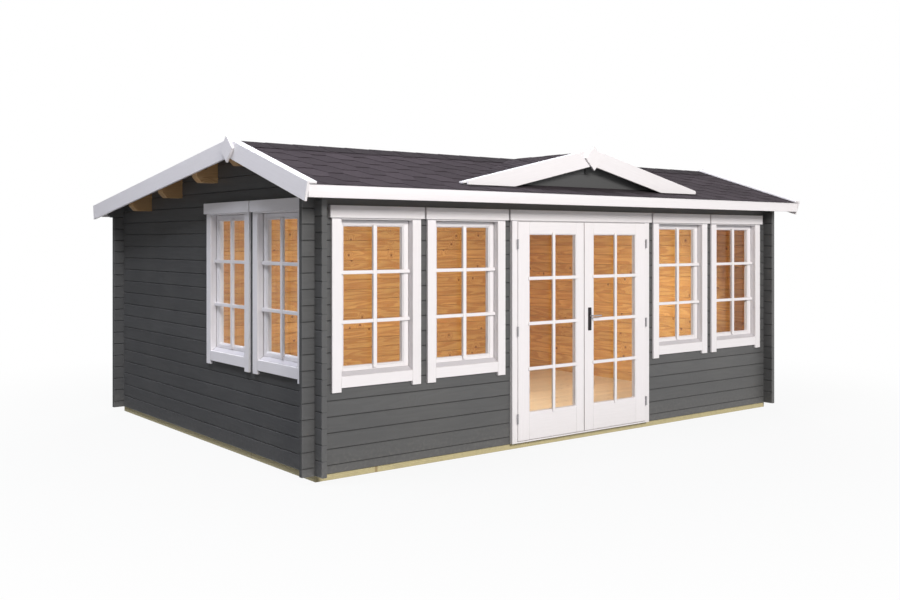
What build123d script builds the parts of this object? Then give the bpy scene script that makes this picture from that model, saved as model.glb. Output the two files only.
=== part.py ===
"""Log cabin with an asymmetric pitched roof, a false gable over a double door, and six casement windows.

Millimetres, +Z up. +X runs to the right along the front, the front faces -Y.
The origin lies on the ground in the middle of the cabin's plan.
Each log wall is a stack of squared logs with bevelled joints, and the walls cross at the corners in
housings cut a quarter of a log deep, so that the logs of one wall lie half a log above the other's.
"""

import os
from math import cos, radians, sin, tan

from build123d import *

os.makedirs("parts", exist_ok=True)

# Walls
wall_depth = 3796.0         # outside face to outside face, front to back
log_height = 114.0
log_thickness = 44.0
log_overrun = 100.0         # log ends past the outside face of the crossing wall
joint_bevel = 6.0           # on each long edge of a log
end_bevel = 4.0             # on the upright edges of a log end
corner_pier = 180.0         # from the outside of a corner to the nearest window opening
window_pier = 159.0         # between the two windows of a pair
door_pier = 115.0           # between a window opening and the doorway

# Base and floor
base_height = 50.0
base_width = 70.0
base_inset = 15.0           # of the beams behind the wall's outside face
floor_thickness = 19.0
joist_count = 6
joist_width = 45.0
floor_gap = 0.5             # between the floor and the walls

# Roof
ridge_run = 950.0           # from the front wall's outside face back to the ridge
ridge_over_lintel = 578.0   # from the top of the front openings to the top of the roof boards
front_pitch = 17.5
rear_pitch = 7.85
eave_overhang = 260.0       # wall's outside face to the tip of a bargeboard, front and rear
gable_overhang = 205.0      # wall's outside face to a bargeboard's outside face
deck_thickness = 18.0
shingle_thickness = 6.0
shingle_overhang = 8.0      # past the fascia
ridge_cap_width = 182.0     # on each slope, seen from above
ridge_cap_thickness = 5.0
ridge_play = 0.4            # between the two slopes, and at each mitre
board_height = 140.0        # bargeboards
board_thickness = 20.0
board_rise = 22.0           # of a bargeboard's top edge over the roof boards
strip_width = 55.0          # cover strip along each verge, inside the bargeboard
fascia_height = 96.0
fascia_thickness = 20.0
fascia_setback = 20.0       # behind the bargeboard tips
finial_side = 147.0         # square board set on its corner
finial_thickness = 18.0
finial_drop = 81.0          # of its middle below the bargeboards' apex
purlin_width = 95.0
purlin_height = 178.0
ridge_purlin_height = 163.0
purlin_offsets = (0.0, 674.0, 1402.0, 2113.0)   # middles, behind the ridge
purlin_chamfer = 45.0
eave_log_chamfer = 60.0

# False gable over the door
dormer_pitch = 13.0
dormer_setback = 136.0      # of its bargeboards' face behind the main bargeboard tips
dormer_half_width = 1367.0  # from the middle to the end of a bargeboard
dormer_roof_overrun = 33.0  # of its boards, shingles and cover strips past the bargeboards' ends
dormer_infill_setback = 94.0
dormer_infill_thickness = 18.0
dormer_board_play = 1.0     # between a bargeboard's foot and the shingles

# Windows
window_opening_width = 684.0
window_courses = 10.5       # logs beside a window
window_clearance = 8.0      # over the frame, for the logs to settle
window_opening_height = window_courses * log_height + window_clearance
front_sill_courses = 5.5    # logs below a front window
side_sill_courses = 6.0
frame_fit = 0.5             # round a frame in its opening
frame_depth = 80.0
frame_member = 27.0
frame_stop_depth = 35.0     # from the wall's face back to the sash
sash_rebate = 12.0
sash_play = 2.0
sash_depth = 42.0
sash_low_rail = 41.0        # seen height
sash_top_rail = 49.0
sash_stile = 57.0
sash_moulding = 12.0        # bevel round the pane
sill_depth = 78.0           # of the frame's foot, up to the sash
bar_width = 32.0
crossbar_height = 27.0
bar_drop = 6.0              # of the bars' middle below the pane's
bar_depth = 18.0
bar_set_in = 6.0            # of the bars' back behind the sash's face
bar_overrun = 24.0          # of the upright bar over the rails, less what the bars' drop takes
glass_thickness = 4.0
glass_groove = 10.0
glass_play = 0.3
glass_setback = 26.0        # behind the sash's face
casing_width = 78.0
casing_thickness = 20.0
casing_reach = 48.0         # past the edge of the opening
casing_leg = 30.0           # below the sill rail
sill_rail_height = 82.0
sill_rail_drop = 27.0       # of the rail below the window opening
head_board_height = 89.0
head_board_gap = 16.0       # between the head boards of a pair
head_board_thickness = 36.0
head_board_drop = 16.0      # of the head board's lower edge below the opening's top

# Door
door_opening_width = 1660.0
door_jamb_face = 55.0
door_jamb_inner = 74.0
door_frame_proud = 10.0
door_frame_depth = 70.0
door_frame_head = 40.0
door_stop_depth = 19.0      # from the wall's face back to the rebate behind the leaves
door_threshold_height = 12.0
door_gap = 5.0              # round the leaves
door_meeting_gap = 9.0
door_meeting_shift = 10.0   # of the meeting line, to the left of the middle
leaf_thickness = 44.0
leaf_proud = 30.0           # of a leaf's face before the wall's
leaf_outer_stile = 131.0
leaf_pane_setout = 111.5    # from the middle of the doorway to a pane
leaf_low_rail = 226.0
leaf_top_rail = 108.0
leaf_moulding = 8.0         # bevel round the pane
leaf_top_gap = 9.0          # below the head board
leaf_bar_width = 28.0
leaf_bar_proud = 10.0
leaf_bar_overrun = 15.0     # over the stiles and rails
leaf_pane_rows = 4
door_head_reach = 25.0      # past the edge of the doorway
hinge_radius = 7.0
hinge_pin_radius = 4.0
hinge_height = 80.0
hinge_play = 0.1
hinge_drop = 0.4            # between a sleeve and the knuckle above it
hinge_offset = 9.0          # of the pin outside the leaf's edge
hinge_stand = 8.0           # of the pin before the leaf's face
hinge_plate = 2.5
hinge_leaf = 22.0           # width of the plate on the leaf
hinge_levels = (200.0, 913.0, 1624.0)
plate_width = 38.0
plate_height = 198.0
plate_thickness = 6.0
plate_middle = 976.0        # above the wall's foot
lever_level = 1005.0
lever_setin = 60.0          # of the spindle from the leaf's meeting edge
lever_stand = 46.0
lever_length = 128.0
lever_bend = 16.0
lever_radius = 8.0          # of the bent bar that is both levers and their spindle
spindle_play = 0.1

# Worked-out places
tiny = 0.01
wall_length = 2 * (corner_pier + 2 * window_opening_width + window_pier + door_pier) + door_opening_width
window_pitch = window_opening_width + window_pier
first_window_offset = corner_pier + window_opening_width / 2
left = -wall_length / 2
right = wall_length / 2
front = -wall_depth / 2
back = wall_depth / 2
wall_foot = base_height
half_log = log_thickness / 2
front_joint = wall_foot + log_height / 2
side_joint = wall_foot
front_middle = front + half_log
back_middle = back - half_log
left_middle = left + half_log
right_middle = right - half_log
front_sill = wall_foot + front_sill_courses * log_height
side_sill = wall_foot + side_sill_courses * log_height
front_lintel = front_sill + window_opening_height
side_lintel = side_sill + window_opening_height
ridge_y = front + ridge_run
ridge_z = front_lintel + ridge_over_lintel
front_window_places = [
    left + first_window_offset,
    left + first_window_offset + window_pitch,
    right - first_window_offset - window_pitch,
    right - first_window_offset,
]
side_window_places = [front + first_window_offset, front + first_window_offset + window_pitch]
barge_outside = wall_length / 2 + gable_overhang
barge_inside = barge_outside - board_thickness
strip_inside = barge_inside - strip_width
eave_front = front - eave_overhang
eave_back = back + eave_overhang
deck_front_end = eave_front + fascia_setback + fascia_thickness
deck_back_end = eave_back - fascia_setback - fascia_thickness


def pitch_at(y):
    """Pitch in radians of the slope that y lies on."""
    return radians(front_pitch if y <= ridge_y else rear_pitch)


def roof_z(y, lift=0.0):
    """Height at y of a plane lifted square off the top of the roof boards."""
    pitch = pitch_at(y)
    return ridge_z + lift / cos(pitch) - abs(ridge_y - y) * tan(pitch)


def eave_log_z(y_face):
    """Foot of the log under the eave: the log whose top comes nearest to the roof boards at y_face."""
    courses = round((roof_z(y_face, -deck_thickness) - front_joint) / log_height)
    return front_joint + (courses - 1) * log_height


def slope_outline(y_low, low_lift, high_lift):
    """Corners in Y and Z of a slab on one slope, from y_low up to the ridge."""
    near = ridge_y + (ridge_play / 2 if y_low > ridge_y else -ridge_play / 2)
    return [
        (y_low, roof_z(y_low, low_lift)),
        (near, roof_z(near, low_lift)),
        (near, roof_z(near, high_lift)),
        (y_low, roof_z(y_low, high_lift)),
    ]


def stack_outline(bottom, top, first_joint, middle):
    """Section of a stack of logs, with a bevelled groove on both faces at every joint."""
    rows = []
    joint = first_joint
    joints = []
    while joint < top + tiny:
        if abs(joint - bottom) < tiny or abs(joint - top) < tiny:
            joints.append(joint)
        elif bottom + joint_bevel < joint < top - joint_bevel:
            joints.append(joint)
        joint += log_height
    if not joints or joints[0] > bottom + tiny:
        rows.append((0, bottom))
    for joint in joints:
        if joint > bottom + tiny:
            rows.append((0, joint - joint_bevel))
        rows.append((joint_bevel, joint))
        if joint < top - tiny:
            rows.append((0, joint + joint_bevel))
    if not joints or joints[-1] < top - tiny:
        rows.append((0, top))
    near = [(middle + half_log - inset, z) for inset, z in rows]
    far = [(middle - half_log + inset, z) for inset, z in rows]
    return near + far[::-1]


def housing_levels(bottom, top, first_joint):
    """Middles of the corner housings: each is half a log high and centred on a joint."""
    levels = []
    level = first_joint
    while level < top + log_height / 2:
        if level > bottom - log_height / 2:
            levels.append(level)
        level += log_height
    return levels


def finish(part, name):
    """Label a piece and write it out."""
    part.label = name
    export_step(part, f"parts/{name}.step")


def long_wall(x_start, x_end, bottom, top, middle):
    """A stretch of the front or back wall, housed for the side walls where it crosses them."""
    crossings = [x for x in (left_middle, right_middle) if x_start < x < x_end]
    levels = housing_levels(bottom, top, front_joint)
    with BuildPart() as wall:
        with BuildSketch(Plane.YZ.offset(x_start)):
            with BuildLine():
                Polyline(*stack_outline(bottom, top, front_joint, middle), close=True)
            make_face()
        extrude(amount=x_end - x_start)
        if crossings:
            with Locations(*[(x, middle, level) for x in crossings for level in levels]):
                Box(log_thickness, log_thickness, log_height / 2, mode=Mode.SUBTRACT)
            with BuildSketch(Plane.XY.offset(bottom)):
                with Locations(((x_start + x_end) / 2, middle)):
                    Rectangle(x_end - x_start, log_thickness)
                free = [v for v in vertices() if abs(v.X) > wall_length / 2 + tiny]
                chamfer(free, end_bevel)
            extrude(amount=top - bottom, mode=Mode.INTERSECT)
    return wall.part


def cross_wall(y_start, y_end, bottom, top, middle):
    """A stretch of a side wall, housed for the front and back walls where it crosses them."""
    crossings = [y for y in (front_middle, back_middle) if y_start < y < y_end]
    levels = housing_levels(bottom, top, side_joint)
    with BuildPart() as wall:
        with BuildSketch(Plane.XZ.offset(-y_end)):
            with BuildLine():
                Polyline(*stack_outline(bottom, top, side_joint, middle), close=True)
            make_face()
        extrude(amount=y_end - y_start)
        if crossings:
            with Locations(*[(middle, y, level) for y in crossings for level in levels]):
                Box(log_thickness, log_thickness, log_height / 2, mode=Mode.SUBTRACT)
            with BuildSketch(Plane.XY.offset(bottom)):
                with Locations((middle, (y_start + y_end) / 2)):
                    Rectangle(log_thickness, y_end - y_start)
                free = [v for v in vertices() if abs(v.Y) > wall_depth / 2 + tiny]
                chamfer(free, end_bevel)
            extrude(amount=top - bottom, mode=Mode.INTERSECT)
    return wall.part


def boxes(corners):
    """Separate boxes, each given by its low and high corner."""
    with BuildPart() as group:
        for low, high in corners:
            with Locations(tuple((l + h) / 2 for l, h in zip(low, high))):
                Box(*[h - l for l, h in zip(low, high)])
    return group.part


def under_roof(y_low, y_high):
    """Outline in Y and Z of everything below the underside of the roof boards."""
    return [
        (y_low, 0),
        (y_high, 0),
        (y_high, roof_z(y_high, -deck_thickness)),
        (ridge_y, roof_z(ridge_y, -deck_thickness)),
        (y_low, roof_z(y_low, -deck_thickness)),
    ]


def eaves_wall(bottom, eave_log, middle):
    """The front or back wall from a height up to the roof; its top log runs out to the bargeboards."""
    with BuildPart() as wall:
        add(long_wall(log_left, log_right, bottom, eave_log, middle))
        add(long_wall(-barge_inside, barge_inside, eave_log, ridge_z, middle))
        with BuildSketch(Plane.YZ.offset(-barge_inside)):
            with BuildLine():
                Polyline(*under_roof(front - log_height, back + log_height), close=True)
            make_face()
        extrude(amount=2 * barge_inside, mode=Mode.INTERSECT)
        for side in (-1, 1):
            with BuildSketch(Plane.XZ.offset(-middle - log_height)):
                with BuildLine():
                    Polyline(
                        (side * (barge_inside - eave_log_chamfer), eave_log),
                        (side * (barge_inside + 1), eave_log + eave_log_chamfer + 1),
                        (side * (barge_inside + 1), eave_log - 1),
                        (side * (barge_inside - eave_log_chamfer), eave_log - 1),
                        close=True,
                    )
                make_face()
            extrude(amount=2 * log_height, mode=Mode.SUBTRACT)
    return wall.part


# Base beams: the front and back ones lie between the side ones
beam_left = left + base_inset
beam_right = right - base_inset
beam_front = front + base_inset
beam_back = back - base_inset
beam_gap = floor_gap
base_beams = boxes([
    ((beam_left, beam_front, 0), (beam_left + base_width, beam_back, base_height)),
    ((beam_right - base_width, beam_front, 0), (beam_right, beam_back, base_height)),
    (
        (beam_left + base_width + beam_gap, beam_front, 0),
        (beam_right - base_width - beam_gap, beam_front + base_width, base_height),
    ),
    (
        (beam_left + base_width + beam_gap, beam_back - base_width, 0),
        (beam_right - base_width - beam_gap, beam_back, base_height),
    ),
])
finish(base_beams, "base_beams")

# Floor joists, front to back between the base beams
joist_start = beam_front + base_width + beam_gap
joist_end = beam_back - base_width - beam_gap
with BuildPart() as floor_joists:
    with Locations((0, (joist_start + joist_end) / 2, base_height / 2)):
        with GridLocations((beam_right - beam_left) / (joist_count + 1), 1, joist_count, 1):
            Box(joist_width, joist_end - joist_start, base_height)
finish(floor_joists.part, "floor_joists")

# Floor, laid between the walls on the beams and joists, cut round the door frame
floor_left = left + log_thickness + floor_gap
floor_right = right - log_thickness - floor_gap
floor_front = front + log_thickness + floor_gap
floor_back = back - log_thickness - floor_gap
frame_front = front - door_frame_proud
frame_back = frame_front + door_frame_depth
with BuildPart() as floor_boards:
    with Locations(((floor_left + floor_right) / 2, (floor_front + floor_back) / 2,
                    wall_foot + floor_thickness / 2)):
        Box(floor_right - floor_left, floor_back - floor_front, floor_thickness)
    with Locations((0, (front + frame_back + floor_gap) / 2, wall_foot + floor_thickness / 2)):
        Box(door_opening_width, frame_back + floor_gap - front, floor_thickness, mode=Mode.SUBTRACT)
finish(floor_boards.part, "floor_boards")

# Front wall: low stretches, piers between the openings, and the logs over them
log_left = left - log_overrun
log_right = right + log_overrun
half_opening = window_opening_width / 2
half_doorway = door_opening_width / 2
with BuildPart() as front_wall_lower:
    add(long_wall(log_left, -half_doorway, wall_foot, front_sill, front_middle))
    add(long_wall(half_doorway, log_right, wall_foot, front_sill, front_middle))
finish(front_wall_lower.part, "front_wall_lower")

pier_edges = [log_left]
for place in front_window_places[:2]:
    pier_edges += [place - half_opening, place + half_opening]
pier_edges += [-half_doorway, half_doorway]
for place in front_window_places[2:]:
    pier_edges += [place - half_opening, place + half_opening]
pier_edges.append(log_right)
with BuildPart() as front_wall_piers:
    for start, end in zip(pier_edges[::2], pier_edges[1::2]):
        add(long_wall(start, end, front_sill, front_lintel, front_middle))
finish(front_wall_piers.part, "front_wall_piers")
finish(eaves_wall(front_lintel, eave_log_z(front), front_middle), "front_wall_upper")

# Back wall
finish(eaves_wall(wall_foot, eave_log_z(back), back_middle), "back_wall")

# Left wall: the logs below the windows, and the piers beside them
log_front = front - log_overrun
log_back = back + log_overrun
side_edges = [log_front]
for place in side_window_places:
    side_edges += [place - half_opening, place + half_opening]
side_edges.append(log_back)
finish(cross_wall(log_front, log_back, wall_foot, side_sill, left_middle), "left_wall_lower")
with BuildPart() as left_wall_piers:
    for start, end in zip(side_edges[::2], side_edges[1::2]):
        add(cross_wall(start, end, side_sill, side_lintel, left_middle))
finish(left_wall_piers.part, "left_wall_piers")

# Right wall
finish(cross_wall(log_front, log_back, wall_foot, side_lintel, right_middle), "right_wall")


def purlin_outline(offset):
    """Section of a purlin in Y and Z, bevelled to the roof boards."""
    low = ridge_y + offset - purlin_width / 2
    high = low + purlin_width
    if low < ridge_y < high:
        bottom = roof_z(ridge_y, -deck_thickness) - ridge_purlin_height
        peak = [(ridge_y, roof_z(ridge_y, -deck_thickness))]
    else:
        bottom = roof_z(low, -deck_thickness) - purlin_height
        peak = []
    return [
        (low, bottom),
        (high, bottom),
        (high, roof_z(high, -deck_thickness)),
        *peak,
        (low, roof_z(low, -deck_thickness)),
    ]


# Purlins, one at the ridge and the rest down the rear slope, through the gables
with BuildPart() as purlins:
    for offset in purlin_offsets:
        with BuildSketch(Plane.YZ.offset(-barge_inside)):
            with BuildLine():
                Polyline(*purlin_outline(offset), close=True)
            make_face()
        extrude(amount=2 * barge_inside)
    for side in (-1, 1):
        for offset in purlin_offsets:
            bottom = purlin_outline(offset)[0][1]
            with BuildSketch(Plane.XZ.offset(-(ridge_y + offset + purlin_width))):
                with BuildLine():
                    Polyline(
                        (side * (barge_inside + 1), bottom + purlin_chamfer + 1),
                        (side * (barge_inside - purlin_chamfer - 1), bottom - 1),
                        (side * (barge_inside + 1), bottom - 1),
                        close=True,
                    )
                make_face()
            extrude(amount=2 * purlin_width, mode=Mode.SUBTRACT)
finish(purlins.part, "purlins")

# Gables: the tops of the side walls, cut to the roof and housed for the purlins
with BuildPart() as gables:
    for middle in (left_middle, right_middle):
        add(cross_wall(log_front, log_back, side_lintel, ridge_z, middle))
    with BuildSketch(Plane.YZ.offset(-barge_inside)):
        with BuildLine():
            Polyline(*under_roof(log_front - 1, log_back + 1), close=True)
        make_face()
    extrude(amount=2 * barge_inside, mode=Mode.INTERSECT)
    for offset in purlin_offsets:
        with BuildSketch(Plane.YZ.offset(-barge_inside)):
            with BuildLine():
                Polyline(*purlin_outline(offset), close=True)
            make_face()
        extrude(amount=2 * barge_inside, mode=Mode.SUBTRACT)
finish(gables.part, "gables")


def roof_slabs(low_lift, high_lift, overlap):
    """A flat slab on each slope, from the eave to the ridge, between the bargeboards."""
    with BuildPart() as slabs:
        for y_low in (deck_front_end - overlap, deck_back_end + overlap):
            with BuildSketch(Plane.YZ.offset(-barge_inside)):
                with BuildLine():
                    Polyline(*slope_outline(y_low, low_lift, high_lift), close=True)
                make_face()
            extrude(amount=2 * barge_inside)
    return slabs.part


finish(roof_slabs(-deck_thickness, 0, 0), "roof_deck")
finish(roof_slabs(0, shingle_thickness, fascia_thickness + shingle_overhang), "roof_shingles")


def barge_outline(y_tip, bottom_lift, top_lift):
    """A board along a verge, plumb at the ridge and square at its tip."""
    rake = (top_lift - bottom_lift) * sin(pitch_at(y_tip))
    low = y_tip + (rake if y_tip < ridge_y else -rake)
    return [(low, roof_z(low, bottom_lift))] + slope_outline(y_tip, bottom_lift, top_lift)[1:]


def verge_boards(x_low, x_high, bottom_lift, top_lift):
    """The front and rear boards of both verges, between two distances from the middle."""
    with BuildPart() as boards:
        for start in (-x_high, x_low):
            for tip in (eave_front, eave_back):
                with BuildSketch(Plane.YZ.offset(start)):
                    with BuildLine():
                        Polyline(*barge_outline(tip, bottom_lift, top_lift), close=True)
                    make_face()
                extrude(amount=x_high - x_low)
    return boards.part


finish(verge_boards(barge_inside, barge_outside, board_rise - board_height, board_rise), "bargeboards")
finish(verge_boards(strip_inside, barge_inside, shingle_thickness, board_rise), "verge_strips")

# Fascias, closing the ends of the roof boards between the bargeboards
with BuildPart() as fascias:
    for inner, outer in (
        (deck_front_end, deck_front_end - fascia_thickness),
        (deck_back_end, deck_back_end + fascia_thickness),
    ):
        with BuildSketch(Plane.YZ.offset(-barge_inside)):
            with BuildLine():
                Polyline(
                    (inner, roof_z(inner)),
                    (outer, roof_z(outer)),
                    (outer, roof_z(inner) - fascia_height),
                    (inner, roof_z(inner) - fascia_height),
                    close=True,
                )
            make_face()
        extrude(amount=2 * barge_inside)
finish(fascias.part, "fascias")

# False gable: layers folded over its own ridge, trimmed to the main roof's front slope
dormer_tan = tan(radians(dormer_pitch))
dormer_cos = cos(radians(dormer_pitch))
dormer_face = eave_front + dormer_setback
dormer_inner_face = dormer_face + board_thickness
dormer_back = ridge_y - ridge_play
dormer_ridge = roof_z(ridge_y, shingle_thickness)
dormer_reach = dormer_half_width + 2 * board_height
dormer_roof_end = dormer_half_width + dormer_roof_overrun
dormer_lift = board_rise - shingle_thickness


def dormer_z(x, lift):
    """Height at x of a plane lifted square off the false gable's shingles."""
    return dormer_ridge + lift / dormer_cos - abs(x) * dormer_tan


def folded(low_lift, high_lift, reach):
    """Outline in X and Z of a folded layer of the false gable's roof."""
    return [
        (-reach, dormer_z(reach, low_lift)),
        (0, dormer_z(0, low_lift)),
        (reach, dormer_z(reach, low_lift)),
        (reach, dormer_z(reach, high_lift)),
        (0, dormer_z(0, high_lift)),
        (-reach, dormer_z(reach, high_lift)),
    ]


def on_front_slope(outline, y_near, y_far):
    """A prism along Y, less everything under the main roof's shingles, parted at the false gable's ridge."""
    with BuildPart() as layer:
        with BuildSketch(Plane.XZ.offset(-y_far)):
            with BuildLine():
                Polyline(*outline, close=True)
            make_face()
        extrude(amount=y_far - y_near)
        with BuildSketch(Plane.YZ.offset(-dormer_reach)):
            with BuildLine():
                Polyline(
                    (eave_front, 0),
                    (ridge_y, 0),
                    (ridge_y, roof_z(ridge_y, shingle_thickness)),
                    (eave_front, roof_z(eave_front, shingle_thickness)),
                    close=True,
                )
            make_face()
        extrude(amount=2 * dormer_reach, mode=Mode.SUBTRACT)
        with Locations((0, (y_near + y_far) / 2, dormer_ridge)):
            Box(ridge_play, 2 * (y_far - y_near), 8 * board_height, mode=Mode.SUBTRACT)
    return layer.part


deck_lift = -shingle_thickness - deck_thickness
dormer_deck = on_front_slope(
    folded(deck_lift, -shingle_thickness, dormer_roof_end), dormer_inner_face, dormer_back
)
finish(dormer_deck, "dormer_deck")
dormer_shingles = on_front_slope(
    folded(-shingle_thickness, 0, dormer_roof_end), dormer_inner_face, dormer_back
)
finish(dormer_shingles, "dormer_shingles")
dormer_strips = on_front_slope(
    folded(0, dormer_lift, dormer_roof_end), dormer_inner_face, dormer_inner_face + strip_width
)
finish(dormer_strips, "dormer_verge_strips")

# Bargeboards of the false gable, their feet cut level just over the slope
dormer_foot = roof_z(dormer_inner_face, shingle_thickness) + dormer_board_play
with BuildPart() as dormer_bargeboards:
    with BuildSketch(Plane.XZ.offset(-dormer_inner_face)):
        with BuildLine():
            Polyline(*folded(dormer_lift - board_height, dormer_lift, dormer_half_width), close=True)
        make_face()
    extrude(amount=board_thickness)
    with Locations((0, dormer_face, dormer_foot / 2)):
        Box(2 * dormer_reach, 4 * board_thickness, dormer_foot, mode=Mode.SUBTRACT)
    with Locations((0, dormer_face, dormer_ridge)):
        Box(ridge_play, 4 * board_thickness, 4 * board_height, mode=Mode.SUBTRACT)
finish(dormer_bargeboards.part, "dormer_bargeboards")

# Boarded infill behind them
infill_face = dormer_face + dormer_infill_setback
infill_half = (dormer_ridge - roof_z(infill_face, shingle_thickness)) / dormer_tan
infill_outline = [
    (-infill_half, dormer_z(infill_half, deck_lift)),
    (infill_half, dormer_z(infill_half, deck_lift)),
    (0, dormer_z(0, deck_lift)),
]
dormer_infill = on_front_slope(infill_outline, infill_face, infill_face + dormer_infill_thickness)
finish(dormer_infill, "dormer_infill")

# Ridge cap, folded over both slopes between the cover strips, cut away where the false gable meets it
cap_front = ridge_y - ridge_cap_width
cap_back = ridge_y + ridge_cap_width
cap_lift = shingle_thickness + ridge_cap_thickness
with BuildPart() as ridge_cap:
    with BuildSketch(Plane.YZ.offset(-strip_inside)):
        with BuildLine():
            Polyline(
                (cap_front, roof_z(cap_front, shingle_thickness)),
                (ridge_y, roof_z(ridge_y, shingle_thickness)),
                (cap_back, roof_z(cap_back, shingle_thickness)),
                (cap_back, roof_z(cap_back, cap_lift)),
                (ridge_y, roof_z(ridge_y, cap_lift)),
                (cap_front, roof_z(cap_front, cap_lift)),
                close=True,
            )
        make_face()
    extrude(amount=2 * strip_inside)
    with BuildSketch(Plane.XZ.offset(-ridge_y)):
        with BuildLine():
            Polyline(
                (-dormer_reach, dormer_z(dormer_reach, 0)),
                (dormer_reach, dormer_z(dormer_reach, 0)),
                (0, dormer_z(0, 0)),
                close=True,
            )
        make_face()
    extrude(amount=2 * ridge_cap_width, mode=Mode.SUBTRACT)
finish(ridge_cap.part, "ridge_cap")

# Finials: square boards on their corners, over each mitre
finial_half = finial_side / 2 ** 0.5
gable_finial = roof_z(ridge_y, board_rise) - finial_drop
dormer_finial = dormer_z(0, dormer_lift) - finial_drop


def on_corner(across, up):
    """Corners of a square set on its corner."""
    return [
        (across - finial_half, up),
        (across, up - finial_half),
        (across + finial_half, up),
        (across, up + finial_half),
    ]


with BuildPart() as finials:
    for start in (-barge_outside - finial_thickness, barge_outside):
        with BuildSketch(Plane.YZ.offset(start)):
            with BuildLine():
                Polyline(*on_corner(ridge_y, gable_finial), close=True)
            make_face()
        extrude(amount=finial_thickness)
    with BuildSketch(Plane.XZ.offset(-dormer_face)):
        with BuildLine():
            Polyline(*on_corner(0, dormer_finial), close=True)
        make_face()
    extrude(amount=finial_thickness)
finish(finials.part, "finials")

# One window, drawn with its outside facing -Y, its middle at x = 0 and its opening's foot at z = 0
frame_half = half_opening - frame_fit
frame_top = window_opening_height - frame_fit
daylight_half = frame_half - frame_member
daylight_top = frame_top - frame_member
daylight_bottom = sill_depth
pane_top = daylight_top - sash_top_rail
pane_bottom = daylight_bottom + sash_low_rail
pane_height = pane_top - pane_bottom
pane_middle = (pane_top + pane_bottom) / 2
pane_width = 2 * (daylight_half - sash_stile)
bar_pitch = (pane_height + 2 * (bar_overrun - bar_drop) + crossbar_height) / 3
casing_half = half_opening + casing_reach
sash_margin = sash_rebate - sash_play
sash_half = daylight_half + sash_margin
sash_bottom = daylight_bottom - sash_margin
sash_top = daylight_top + sash_margin
rail_bottom = -sill_rail_drop
rail_top = rail_bottom + sill_rail_height
head_bottom = window_opening_height - head_board_drop
window_glass_y = frame_stop_depth + glass_setback


def upright(side, inner, z_low, z_high):
    """A window jamb, rebated on its room side, from its inner edge out to the opening."""
    with BuildPart() as jamb:
        with BuildSketch(Plane.XY.offset(z_low)):
            with BuildLine():
                Polyline(
                    (side * frame_half, 0),
                    (side * inner, 0),
                    (side * inner, frame_stop_depth),
                    (side * (inner + sash_rebate), frame_stop_depth),
                    (side * (inner + sash_rebate), frame_depth),
                    (side * frame_half, frame_depth),
                    close=True,
                )
            make_face()
        extrude(amount=z_high - z_low)
    return jamb.part


def crosspiece(outline):
    """A window head or sill between the jambs, from its section in Y and Z."""
    with BuildPart() as rail:
        with BuildSketch(Plane.YZ.offset(-daylight_half)):
            with BuildLine():
                Polyline(*outline, close=True)
            make_face()
        extrude(amount=2 * daylight_half)
    return rail.part


def window_posts():
    """Both jambs of a window frame."""
    with BuildPart() as posts:
        for side in (-1, 1):
            add(upright(side, daylight_half, frame_fit, frame_top))
    return posts.part


def window_crosspieces():
    """Head and sloping sill of a window frame."""
    with BuildPart() as rails:
        add(crosspiece([
            (0, frame_top),
            (0, daylight_top),
            (frame_stop_depth, daylight_top),
            (frame_stop_depth, daylight_top + sash_rebate),
            (frame_depth, daylight_top + sash_rebate),
            (frame_depth, frame_top),
        ]))
        add(crosspiece([
            (0, frame_fit),
            (0, rail_top),
            (frame_stop_depth, daylight_bottom),
            (frame_stop_depth, daylight_bottom - sash_rebate),
            (frame_depth, daylight_bottom - sash_rebate),
            (frame_depth, frame_fit),
        ]))
    return rails.part


def window_glass():
    """Sheet of glass, let into the sash all round."""
    with BuildPart() as glass:
        with Locations((0, window_glass_y, pane_middle)):
            Box(pane_width + 2 * glass_groove, glass_thickness, pane_height + 2 * glass_groove)
    return glass.part


def window_sash():
    """Sash with a lattice of bars lying over its outer face."""
    lattice_depth = bar_depth + bar_set_in
    bar_y = frame_stop_depth + bar_set_in - lattice_depth / 2
    bar_z = pane_middle - bar_drop
    with BuildPart() as sash:
        with Locations((0, frame_stop_depth + sash_depth / 2, (sash_bottom + sash_top) / 2)):
            Box(2 * sash_half, sash_depth, sash_top - sash_bottom)
        with Locations((0, frame_stop_depth + sash_depth / 2, pane_middle)):
            Box(pane_width, 2 * sash_depth, pane_height, mode=Mode.SUBTRACT)
        with BuildSketch(Plane.XZ.offset(-frame_stop_depth)):
            with Locations((0, pane_middle)):
                Rectangle(pane_width + 2 * sash_moulding, pane_height + 2 * sash_moulding)
        extrude(amount=-sash_moulding, taper=45, mode=Mode.SUBTRACT)
        with Locations((0, window_glass_y, pane_middle)):
            Box(
                pane_width + 2 * (glass_groove + glass_play), glass_thickness + 2 * glass_play,
                pane_height + 2 * (glass_groove + glass_play), mode=Mode.SUBTRACT,
            )
        with Locations((0, bar_y, bar_z)):
            Box(bar_width, lattice_depth, 3 * bar_pitch - crossbar_height)
        with Locations((0, bar_y, bar_z - bar_pitch / 2), (0, bar_y, bar_z + bar_pitch / 2)):
            Box(2 * (daylight_half - sash_play), lattice_depth, crossbar_height)
    return sash.part


def window_casings():
    """The two boards up the sides of a window."""
    bottom = rail_bottom - casing_leg
    with BuildPart() as casings:
        with Locations((0, -casing_thickness / 2, (bottom + head_bottom) / 2)):
            with GridLocations(2 * casing_half - casing_width, 1, 2, 1):
                Box(casing_width, casing_thickness, head_bottom - bottom)
    return casings.part


def window_rails():
    """The boards between the casings, at the sill and under the head board."""
    with BuildPart() as rails:
        for low, high in ((rail_bottom, rail_top), (daylight_top, head_bottom)):
            with Locations((0, -casing_thickness / 2, (low + high) / 2)):
                Box(2 * (casing_half - casing_width), casing_thickness, high - low)
    return rails.part


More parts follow.
